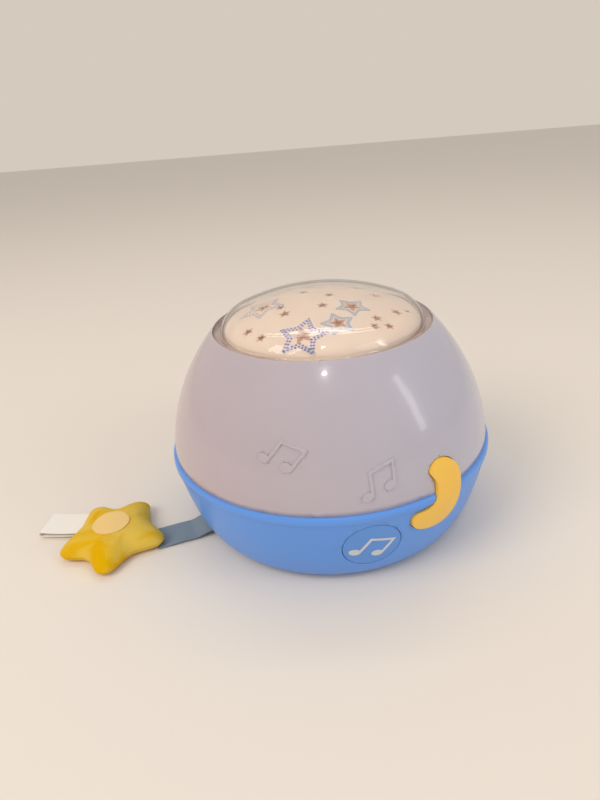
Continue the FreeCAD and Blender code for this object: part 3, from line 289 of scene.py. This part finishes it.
# The three cells have plain dark jackets. Their contacts are nickel-plated spring
# steel: flat plates at both ends and a short coil against each flat end.
cell_jacket = plastic("cell_jacket", (0.05, 0.055, 0.065), 0.30, coat=0.4, haze=0.1)
contact_metal = plastic("nickel_plate", (0.72, 0.70, 0.66), 0.22, haze=0.2)
set_shader(contact_metal, {"Metallic": 1.0})
dress("battery_cells", cell_jacket, "housing")
dress("contact_plates", contact_metal, "housing")
dress("contact_springs", contact_metal, "housing")


# The loudspeaker is a lacquered steel basket with a pressed paper cone and a
# magnet on its back, held to the floor of the base by three plated clips.
speaker_lacquer = plastic("speaker_lacquer", (0.030, 0.030, 0.034), 0.38, coat=0.2, haze=0.15)
speaker_paper = plastic("pressed_paper", (0.018, 0.018, 0.018), 0.85, ripple=1.0, shift=0.4)
dress("speaker_frame", speaker_lacquer, "housing")
dress("speaker_magnet", speaker_lacquer, "housing")
dress("speaker_cone", speaker_paper, "housing")
dress("speaker_clamps", screw_steel, "housing")


# The electronics are green laminate boards with black moulded parts on them. Each
# push switch stands on its own little board behind its button.
board_green = plastic("solder_mask", (0.012, 0.085, 0.035), 0.35, coat=0.3, shift=0.3)
part_black = plastic("black_moulding", (0.012, 0.012, 0.014), 0.45, haze=0.15)
for board in ("main_board", "sound_switch_board", "moon_switch_board"):
    dress(board, board_green, "housing")
for part in ("board_parts", "sound_switch", "moon_switch"):
    dress(part, part_black, "housing")
dress("sound_plunger", part_black, "sound_button")
dress("moon_plunger", part_black, "moon_button")


# The lamp stands on a white post over the battery bay: a round aluminium board with
# one bright lamp in the middle and three coloured ones, all cast in clear resin.
white_moulding = plastic("white_moulding", (0.74, 0.74, 0.72), 0.42, haze=0.1)
board_metal = plastic("coated_aluminium", (0.70, 0.71, 0.72), 0.35, haze=0.15)
lamp_resin = plastic("lamp_resin", (0.80, 0.80, 0.72), 0.10, coat=0.5)
set_shader(lamp_resin, {"Transmission Weight": 0.6})
dress("lamp_tower", white_moulding, "housing")
dress("ribbon_clamp", white_moulding, "housing")
dress("lamp_board", board_metal, "housing")
dress("beam_lamp", lamp_resin, "housing")
dress("glow_lamps", lamp_resin, "housing")


# The light funnel is a thin cone under the star mask. It keeps the beam off the dome, and
# it is what shows through the star windows. Its warm grey-brown carries painted shade, set to give
# the windows their dim look, and its emission is a painted glow for daylight through the thin plastic.
funnel_shade_and_glow = plastic("funnel_shade_and_glow", (0.34, 0.20, 0.14), 0.6, haze=0.1)
# Painted glow: the funnel emits light though it is no lamp.
set_shader(funnel_shade_and_glow, {"Emission Color": (0.60, 0.34, 0.24, 1), "Emission Strength": 0.42})
dress("light_funnel", funnel_shade_and_glow, "housing")


# The dome is blow-moulded in milky plastic with a high gloss. Its colour is painted from rose
# on the left to a cool lilac on the right: painted light for the warm window and the cool fill.
milky = plastic("milky_plastic", (0.50, 0.45, 0.50), 0.20, coat=0.5, haze=0.05, ripple=0.02, shift=0.03)
set_shader(milky, {"Subsurface Weight": 0.15, "Subsurface Radius": (1.0, 0.9, 0.95),
                   "Subsurface Scale": 0.004})
milky_tree = milky.node_tree
tint_place = milky_tree.nodes.new("ShaderNodeTexCoord")
tint_split = milky_tree.nodes.new("ShaderNodeSeparateXYZ")
tint_range = milky_tree.nodes.new("ShaderNodeMapRange")
side_light_tint = milky_tree.nodes.new("ShaderNodeValToRGB")
dome_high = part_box("dome_shell")[1]
tint_range.inputs["From Min"].default_value = -dome_high.x
tint_range.inputs["From Max"].default_value = dome_high.x
# Painted light: rose where the warm window falls on the left, lilac where the cool light falls on the right.
side_light_tint.color_ramp.elements[0].color = (0.500, 0.405, 0.425, 1)
side_light_tint.color_ramp.elements[1].color = (0.470, 0.468, 0.560, 1)
feed(milky_tree, tint_split.inputs["Vector"], tint_place.outputs["Object"])
feed(milky_tree, tint_range.inputs["Value"], tint_split.outputs["X"])
feed(milky_tree, side_light_tint.inputs["Fac"], tint_range.outputs["Result"])
feed(milky_tree, milky_tree.nodes["Group"].inputs["Colour"], side_light_tint.outputs["Color"])
edge_height = 0.0018
dress("dome_shell", milky, "housing", flat_above=dome_high.z - edge_height)


# The star mask is a thin peach crown under the clear cover, pierced by star windows.
# Brown stars round the windows are painted shade that widens the dark of each window; five large stars are
# printed in blue dots and lines.
peach = plastic("peach_mask", (0.62, 0.53, 0.455), 0.60, haze=0.08, ripple=0.05)
mask = dress("star_mask", peach, "housing")
# The flange faces get a darker mauve: painted shade for the light caught under the cover's rim.
mask.data.materials.append(plastic("flange_painted_shade", (0.42, 0.325, 0.30), 0.55))
flange_height = 0.1243
flange_outside = 0.0650
flange_stretch = 1.003
for face in mask.data.polygons:
    if face.center.z < flange_height:
        face.material_index = 1


def pick(piece, wanted):
    """Opens a piece for editing with only those vertices selected that pass a test."""
    bpy.ops.object.mode_set(mode="EDIT")
    bpy.ops.mesh.select_all(action="DESELECT")
    bpy.ops.object.mode_set(mode="OBJECT")
    for vertex in piece.data.vertices:
        vertex.select = wanted(vertex)
    bpy.ops.object.mode_set(mode="EDIT")


# The mauve flange is drawn out by a hair, so that no dark gap shows round it.
pick(mask, lambda vertex: math.hypot(vertex.co.x, vertex.co.y) > flange_outside)
bpy.ops.transform.resize(value=(flange_stretch, flange_stretch, 1), center_override=(0, 0, 0))
bpy.ops.object.mode_set(mode="OBJECT")
mask_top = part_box("star_mask")[1].z
mask_crown = 0.12921
print_lift = 0.00006


def on_mask(x, y):
    """The place just over the mask's round crown that lies at x and y on the plan."""
    height = mask_top - mask_crown + math.sqrt(mask_crown ** 2 - x * x - y * y)
    return Vector((x, y, height + print_lift))


def star_outline(middle, reach, waist, turn, count):
    """Places spaced evenly along a five-pointed star on the mask."""
    corners = []
    for step in range(10):
        radius = reach if step % 2 == 0 else reach * waist
        angle = math.radians(turn + 90 + 36 * step)
        corners.append(Vector((middle[0] + radius * math.cos(angle),
                               middle[1] + radius * math.sin(angle))))
    places = []
    for step in range(count):
        along = step * 10 / count
        corner = int(along)
        point = corners[corner].lerp(corners[(corner + 1) % 10], along - corner)
        places.append(on_mask(point.x, point.y))
    return places


def finish_mark(piece, name, material):
    """A flat print or band of painted shade is turned face up, named, coloured and fixed to the housing."""
    bpy.ops.object.mode_set(mode="EDIT")
    bpy.ops.mesh.select_all(action="SELECT")
    bpy.ops.mesh.normals_make_consistent(inside=False)
    bpy.ops.object.mode_set(mode="OBJECT")
    if sum(face.normal.z for face in piece.data.polygons) < 0:
        piece.data.flip_normals()
    piece.name = name
    piece.data.materials.append(material)
    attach(piece, "housing")


def printed_dots(name, middle, turn, rows, dot_radius, material):
    """A star drawn in rows of round dots that lie on the mask, copied from one dot."""
    bpy.ops.object.select_all(action="DESELECT")
    bpy.ops.mesh.primitive_circle_add(vertices=12, radius=dot_radius, fill_type="NGON")
    pattern = bpy.context.object
    crown_middle = Vector((0, 0, mask_top - mask_crown))
    for reach, waist, count in rows:
        for place in star_outline(middle, reach, waist, turn, count):
            dot = pattern.copy()
            dot.data = pattern.data.copy()
            bpy.context.scene.collection.objects.link(dot)
            dot.location = place
            dot.rotation_euler = (place - crown_middle).to_track_quat("Z", "Y").to_euler()
            dot.select_set(True)
            bpy.context.view_layer.objects.active = dot
    pattern.select_set(False)
    bpy.data.objects.remove(pattern)
    bpy.ops.object.join()
    bpy.ops.object.transform_apply(location=True, rotation=True, scale=True)
    finish_mark(bpy.context.object, name, material)


def star_band(name, middle, turn, reach, width, material, waist=0.52, soft=4):
    """A star drawn as an outline of even width that lies on the mask; it serves for printed lines and for
    the painted shade round the windows.
    """
    bpy.ops.object.select_all(action="DESELECT")
    count = 100
    bpy.ops.mesh.primitive_circle_add(vertices=count, radius=reach, fill_type="NOTHING")
    band = bpy.context.object
    outer = star_outline(middle, reach, waist, turn, count)
    for vertex, place in zip(band.data.vertices, outer):
        vertex.co = place
    bpy.ops.object.mode_set(mode="EDIT")
    bpy.ops.mesh.select_all(action="SELECT")
    if soft:
        bpy.ops.mesh.vertices_smooth(factor=0.5, repeat=soft)
    bpy.ops.mesh.extrude_region_move()
    bpy.ops.transform.resize(value=(1 - width / reach, 1 - width / reach, 1),
                             center_override=on_mask(*middle))
    bpy.ops.object.mode_set(mode="OBJECT")
    for vertex in band.data.vertices:
        vertex.co = on_mask(vertex.co.x, vertex.co.y)
    finish_mark(band, name, material)


def line_star(name, middle, turn, reach):
    """A star drawn as two grey-blue lines, one inside the other."""
    star_band(name + "_outer", middle, turn, reach, 0.0015, ink_grey_blue)
    star_band(name + "_inner", middle, turn, reach - 0.0022, 0.0013, ink_grey_blue)


ink_blue = plastic("ink_blue", (0.045, 0.125, 0.440), 0.5)
ink_dusk = plastic("ink_dusk", (0.140, 0.210, 0.430), 0.5)
ink_grey_blue = plastic("ink_grey_blue", (0.250, 0.335, 0.460), 0.5)
window_shade_brown = plastic("window_shade_brown", (0.420, 0.250, 0.190), 0.5)
# Each window: how far right, how far back, its reach, and its turn in degrees. The brown
# star of painted shade round it starts at the window's edge; the framed ones are wider.
star_windows = (
    (-10.5, -45.5, 3.4, 8), (-41.2, -29.6, 2.6, 20), (-33.3, -39.6, 2.3, 50),
    (-20.4, -22.3, 2.8, 5), (-23.0, -13.0, 2.2, 40), (1.0, -18.4, 2.6, 0),
    (5.4, -3.0, 2.4, 30), (30.4, -29.9, 2.4, 15), (28.6, -38.0, 2.2, 45),
    (36.6, -35.4, 2.2, 10), (42.8, -17.8, 2.6, 55), (22.5, 18.0, 2.6, 12),
    (-5.7, 27.5, 2.4, 0), (-34.0, -5.0, 3.0, 32), (8.9, -37.5, 2.8, 18),
    (17.6, -19.9, 3.0, 40), (-44.0, 14.0, 2.4, 5), (-27.0, 22.0, 2.6, 48),
    (-14.0, 44.0, 3.0, 10), (8.0, 41.0, 2.4, 35), (30.0, 38.0, 2.8, 0),
    (33.0, 3.0, 2.8, 20), (-10.0, 8.0, 2.6, 14),
)
framed_windows = ((-10.5, -45.5), (-34.0, -5.0), (8.9, -37.5), (17.6, -19.9), (-14.0, 44.0))
crown_unit = 0.000994
window_reach = 0.00098
plain_reach = 0.0015
framed_reach = 0.0020
# The brown bands are painted shade round each window.
for number, (right, back, size, turn) in enumerate(star_windows):
    reach = framed_reach if (right, back) in framed_windows else plain_reach
    star_band("window_star_" + str(number), (right * crown_unit, back * crown_unit), turn,
                 size * reach, size * (reach - window_reach), window_shade_brown, waist=0.46, soft=0)
printed_dots("dotted_star_front", (-0.0105, -0.0455), -15,
             ((0.0140, 0.54, 44), (0.0114, 0.50, 36)), 0.00066, ink_blue)
printed_dots("dotted_star_left", (-0.0340, -0.0050), 32,
             ((0.0142, 0.54, 44), (0.0116, 0.50, 36)), 0.00060, ink_dusk)
line_star("line_star_near", (0.0089, -0.0375), 18, 0.0106)
line_star("line_star_far", (0.0176, -0.0199), 40, 0.0110)
printed_dots("dotted_star_back", (-0.0140, 0.0380), 10,
             ((0.0120, 0.54, 40), (0.0097, 0.50, 32)), 0.00060, ink_blue)
line_star("line_star_back", (0.0240, 0.0330), 0, 0.0106)


# The clear cover is a shallow polished crown that snaps into the opening over the
# mask, with a flange round it and a raised bead that is broken at the front. Its
# wall is too thin to bend the light much, so its gloss is a coat on an airy body.
clear = new_material("clear_moulding", {
    "Base Color": (0.98, 0.955, 0.94, 1), "Transmission Weight": 1.0, "IOR": 1.02,
    "Roughness": 0.0, "Coat Weight": 1.0, "Coat IOR": 1.45})
clear_tree = clear.node_tree
clear_shader = clear_tree.nodes["Principled BSDF"]
clear_place = clear_tree.nodes.new("ShaderNodeTexCoord")
clear_range = clear_tree.nodes.new("ShaderNodeMapRange")
clear_range.inputs["To Min"].default_value = 0.01
clear_range.inputs["To Max"].default_value = 0.05
clear_open = clear_tree.nodes.new("ShaderNodeBsdfTransparent")
clear_open.inputs["Color"].default_value = (0.95, 0.92, 0.90, 1)
clear_path = clear_tree.nodes.new("ShaderNodeLightPath")
clear_mix = clear_tree.nodes.new("ShaderNodeMixShader")
feed(clear_tree, clear_range.inputs["Value"], noise(clear_tree, clear_place.outputs["Object"], 35.0))
feed(clear_tree, clear_shader.inputs["Coat Roughness"], clear_range.outputs["Result"])
feed(clear_tree, clear_mix.inputs["Fac"], clear_path.outputs["Is Shadow Ray"])
feed(clear_tree, clear_mix.inputs[1], clear_shader.outputs["BSDF"])
feed(clear_tree, clear_mix.inputs[2], clear_open.outputs["BSDF"])
feed(clear_tree, clear_tree.nodes["Material Output"].inputs["Surface"], clear_mix.outputs["Shader"])
cover = dress("clear_cover", clear, "housing")
# Its flange lies on the mask's flange with a hair of air between them.
flange_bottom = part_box("clear_cover")[0].z + 0.00005
air_gap = 0.00012
pick(cover, lambda vertex: vertex.co.z < flange_bottom)
bpy.ops.transform.translate(value=(0, 0, air_gap))
bpy.ops.object.mode_set(mode="OBJECT")


# The sound button is a disc of duller translucent blue, flush with the bowl, with a
# pair of beamed notes moulded through its face in white.
button_blue = plastic("button_blue", (0.110, 0.300, 0.740), 0.45, coat=0.05, haze=0.12)
inlay_white = plastic("inlay_white", (0.62, 0.65, 0.70), 0.40, coat=0.1)
dress("sound_button", button_blue, "sound_button")
dress("note_inlay", inlay_white, "sound_button")


# The moon button is a hollow crescent in warm yellow with rounded edges. It crosses
# the seam and the lip, and stands about a millimetre proud of the housing.
moon_yellow = plastic("moon_yellow", (0.93, 0.55, 0.068), 0.36, coat=0.15, haze=0.1)
dress("moon_button", moon_yellow, "moon_button", bevel=0.0008)


# The ribbon is a 20.5 mm woven ribbon with firm edges. Its end is clamped in the foot,
# and it runs out of the slot, sags to the table and goes into the star's seam.
def woven(name, colour, pitch, contrast, roughness):
    """A plain weave in an object's own UV, with darker threads between lighter ones."""
    material = new_material(name, {"Roughness": roughness, "Specular IOR Level": 0.25})
    tree = material.node_tree
    shader = tree.nodes["Principled BSDF"]
    threads = tree.nodes.new("ShaderNodeUVMap").outputs["UV"]
    weave = tree.nodes.new("ShaderNodeTexWave")
    weave.wave_type = "BANDS"
    weave.bands_direction = "X"
    weave.inputs["Scale"].default_value = pitch
    weave.inputs["Distortion"].default_value = 0.6
    feed(tree, weave.inputs["Vector"], threads)
    fuzz = noise(tree, threads, 40.0, detail=4.0)
    ramp = tree.nodes.new("ShaderNodeValToRGB")
    ramp.color_ramp.elements[0].color = (*[channel * (1 - contrast) for channel in colour], 1)
    ramp.color_ramp.elements[1].color = (*[channel * (1 + contrast) for channel in colour], 1)
    feed(tree, ramp.inputs["Fac"], maths(tree, "MULTIPLY_ADD", weave.outputs["Fac"], 0.4, fuzz))
    feed(tree, shader.inputs["Base Color"], ramp.outputs["Color"])
    feed(tree, shader.inputs["Normal"], bumps(tree, weave.outputs["Fac"], 0.25, 0.0002))
    return material


def strip_piece(name, length, width, columns, rows, line, across, thickness):
    """A flat strip laid along a line of places, then given its thickness.

    The line gives the place at a share of the length and a share of the width, where
    across points from one long edge of the strip to the other.
    """
    bpy.ops.object.select_all(action="DESELECT")
    bpy.ops.mesh.primitive_grid_add(x_subdivisions=columns, y_subdivisions=rows, size=1.0)
    strip = bpy.context.object
    strip.name = name
    strip.scale = (length, width, 1)
    bpy.ops.object.transform_apply(location=False, rotation=False, scale=True)
    for vertex in strip.data.vertices:
        vertex.co = line(vertex.co.x / length + 0.5, vertex.co.y / width, across)
    apply_modifier(strip, "cloth_thickness", "SOLIDIFY", thickness=thickness, offset=0)
    bpy.ops.object.shade_smooth_by_angle(angle=math.radians(60))
    return strip


ribbon_width = 0.0205
ribbon_thickness = 0.00072
ribbon_turn = math.radians(-71.0)
ribbon_out = Vector((math.sin(ribbon_turn), -math.cos(ribbon_turn), 0))
ribbon_across = Vector((ribbon_out.y, -ribbon_out.x, 0))
ribbon_start = 0.0657
ribbon_end = 0.1205
ribbon_pivot = 0.0846333
slot_height = 0.0043
table_height = 0.00078
fall_start = 0.0005
fall_length = 0.0125
near_lift = 0.0011
far_lift = 0.0004


def ribbon_line(share, side, across):
    """The ribbon falls from the slot to the table and lifts at its long edges."""
    reach = ribbon_start + share * (ribbon_end - ribbon_start)
    fall = min(max((reach - ribbon_pivot - fall_start) / fall_length, 0.0), 1.0)
    ease = fall * fall * (3 - 2 * fall)
    height = slot_height + (table_height - slot_height) * ease
    outside = max(reach - ribbon_pivot, 0.0) / (ribbon_end - ribbon_pivot)
    wave = math.sin(math.pi * outside) ** 2
    lift = wave * (near_lift * max(0.0, -side * 2) ** 2 + far_lift * max(0.0, side * 2) ** 3)
    place = ribbon_out * reach + across * (side * ribbon_width)
    return Vector((place.x, place.y, height + lift))


ribbon_cloth = woven("ribbon_cloth", (0.215, 0.272, 0.325), 60.0, 0.14, 0.55)
ribbon_length = ribbon_end - ribbon_start
ribbon_strip = strip_piece("ribbon_strip", ribbon_length, ribbon_width, 96, 24,
                           ribbon_line, ribbon_across, ribbon_thickness)
ribbon_strip.data.materials.append(ribbon_cloth)
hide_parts("ribbon", "ribbon_tail")
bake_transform(ribbon_strip)


# The plush star is cut from short-pile yellow velour, sewn along a low seam and
# filled softly. Its paler patches are painted sheen, where the pile lies differently and catches the light.
velour = new_material("yellow_velour", {
    "Roughness": 1.0, "Specular IOR Level": 0.05, "Sheen Weight": 0.05, "Sheen Roughness": 0.5,
    "Sheen Tint": (1.0, 0.85, 0.40, 1)})
velour_tree = velour.node_tree
velour_shader = velour_tree.nodes["Principled BSDF"]
velour_place = velour_tree.nodes.new("ShaderNodeTexCoord").outputs["Object"]
# Painted sheen: noise makes paler patches in the base colour.
sheen_patch_mask = noise(velour_tree, velour_place, 38.0, detail=4.0, distortion=0.8)
sheen_patch_ramp = velour_tree.nodes.new("ShaderNodeValToRGB")
sheen_patch_ramp.color_ramp.elements[0].position = 0.42
sheen_patch_ramp.color_ramp.elements[1].position = 0.60
sheen_patch_ramp.color_ramp.elements[0].color = (0.740, 0.420, 0.0015, 1)
sheen_patch_ramp.color_ramp.elements[1].color = (0.800, 0.540, 0.085, 1)
pile = noise(velour_tree, velour_place, 1600.0, detail=3.0)
feed(velour_tree, sheen_patch_ramp.inputs["Fac"], sheen_patch_mask)
feed(velour_tree, velour_shader.inputs["Base Color"], sheen_patch_ramp.outputs["Color"])
feed(velour_tree, velour_shader.inputs["Normal"], bumps(velour_tree, pile, 0.5, 0.0004))

star = welded("plush_star", "plush_star_stuffed")
apply_modifier(star, "even_cloth", "REMESH", mode="VOXEL", voxel_size=0.0012)
bpy.ops.object.mode_set(mode="EDIT")
bpy.ops.mesh.select_all(action="SELECT")
bpy.ops.mesh.vertices_smooth(factor=0.5, repeat=4)
bpy.ops.transform.shrink_fatten(value=-0.0012)
bpy.ops.object.mode_set(mode="OBJECT")
rest_places = [vertex.co.copy() for vertex in star.data.vertices]
stuffing = star.modifiers.new("stuffing", "CLOTH")
stuffing.settings.use_pressure = True
stuffing.settings.uniform_pressure_force = 4.0
stuffing.settings.effector_weights.gravity = 0.0
stuffing.point_cache.frame_start = 1
stuffing.point_cache.frame_end = 20
for moment in range(1, 21):
    bpy.context.scene.frame_set(moment)
bpy.ops.object.modifier_apply(modifier=stuffing.name)
bpy.context.scene.frame_set(1)
furthest = 0.0016
for vertex, rest_place in zip(star.data.vertices, rest_places):
    moved = vertex.co - rest_place
    if moved.length > furthest:
        vertex.co = rest_place + moved * (furthest / moved.length)
star_low, star_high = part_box("plush_star")
for vertex in star.data.vertices:
    vertex.co.z = max(vertex.co.z, star_low.z)
# The seam is a groove low round the edge, where the two halves are sewn together.
seam_height = 0.0036
seam_depth = 0.0007
pick(star, lambda vertex: abs(vertex.co.z - seam_height) < seam_depth and abs(vertex.normal.z) < 0.75)
bpy.ops.transform.shrink_fatten(value=-seam_depth)
bpy.ops.object.mode_set(mode="OBJECT")
apply_modifier(star, "finer", "SUBSURF", levels=1)
bpy.ops.object.shade_smooth()
star.data.materials.append(velour)
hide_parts("plush_star")
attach(star, "star")


# The patch is a disc of smooth pale satin sewn on the middle of the star. It follows
# the filled top.
patch_cloth = plastic("patch_cloth", (0.90, 0.62, 0.24), 0.65, ripple=0.4, shift=0.08)
set_shader(patch_cloth, {"Specular IOR Level": 0.2})
patch_low, patch_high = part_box("star_patch")
patch_middle = (patch_low + patch_high) / 2
patch_radius = 0.0115
clear_of_star = 0.004
bpy.ops.object.select_all(action="DESELECT")
bpy.ops.mesh.primitive_circle_add(
    vertices=72, radius=patch_radius, fill_type="NGON",
    location=(patch_middle.x, patch_middle.y, star_high.z + clear_of_star))
patch = bpy.context.object
patch.name = "star_patch_sewn"
bpy.ops.object.transform_apply(location=True, rotation=True, scale=True)
bpy.ops.object.mode_set(mode="EDIT")
bpy.ops.mesh.select_all(action="SELECT")
for ring in range(6):
    bpy.ops.mesh.inset(thickness=0.0015, depth=0)
bpy.ops.mesh.poke()
bpy.ops.mesh.select_all(action="SELECT")
bpy.ops.mesh.subdivide(number_cuts=1)
bpy.ops.object.mode_set(mode="OBJECT")
apply_modifier(patch, "lay", "SHRINKWRAP", target=star, wrap_method="PROJECT", use_project_z=True,
               use_negative_direction=True, use_positive_direction=True, offset=0.00035)
apply_modifier(patch, "padding", "SOLIDIFY", thickness=0.0007, offset=0)
bpy.ops.object.shade_smooth_by_angle(angle=math.radians(50))
patch.data.materials.append(patch_cloth)
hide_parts("star_patch")
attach(patch, "star")


# The care label is a strip of white satin folded in half and caught in the seam on
# the star's left. It is bare on both sides, and its fold springs open a little.
label_cloth = woven("label_cloth", (0.90, 0.85, 0.78), 50.0, 0.05, 0.75)
star_middle = Vector((-0.14125, -0.03785, 0))
label_turn = math.radians(175.0)
label_out = Vector((math.cos(label_turn), math.sin(label_turn), 0))
label_across = Vector((-label_out.y, label_out.x, 0))
label_foot = star_middle + Vector((0, 0.0125, 0))
label_width = 0.0208
label_start = 0.0225
label_half = 0.0280
label_fold = label_start + label_half
label_thickness = 0.0003
label_profile = []
for step in range(13):
    share = step / 12
    label_profile.append((label_start + label_half * share, 0.0046 - 0.0006 * math.sin(math.pi * share)))
for step in range(1, 8):
    angle = math.pi / 2 - math.pi * step / 8
    label_profile.append((label_fold + 0.0010 * math.cos(angle), 0.00295 + 0.00165 * math.sin(angle)))
for step in range(13):
    share = step / 12
    label_profile.append((label_fold - label_half * share, 0.0013 + 0.0011 * share ** 2))


def label_line(share, side, across):
    """The label runs out over the table, folds round and comes back under itself."""
    along = share * (len(label_profile) - 1)
    first = min(int(along), len(label_profile) - 2)
    rest = along - first
    reach = label_profile[first][0] * (1 - rest) + label_profile[first + 1][0] * rest
    height = label_profile[first][1] * (1 - rest) + label_profile[first + 1][1] * rest
    place = label_foot + label_out * reach + across * (side * label_width)
    return Vector((place.x, place.y, height))


label_length = 0.0
for (reach_a, height_a), (reach_b, height_b) in zip(label_profile, label_profile[1:]):
    label_length += math.hypot(reach_b - reach_a, height_b - height_a)
label = strip_piece("care_label_folded", label_length, label_width, 32, 8,
                    label_line, label_across, label_thickness)
label.data.materials.append(label_cloth)
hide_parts("care_label")
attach(label, "star")
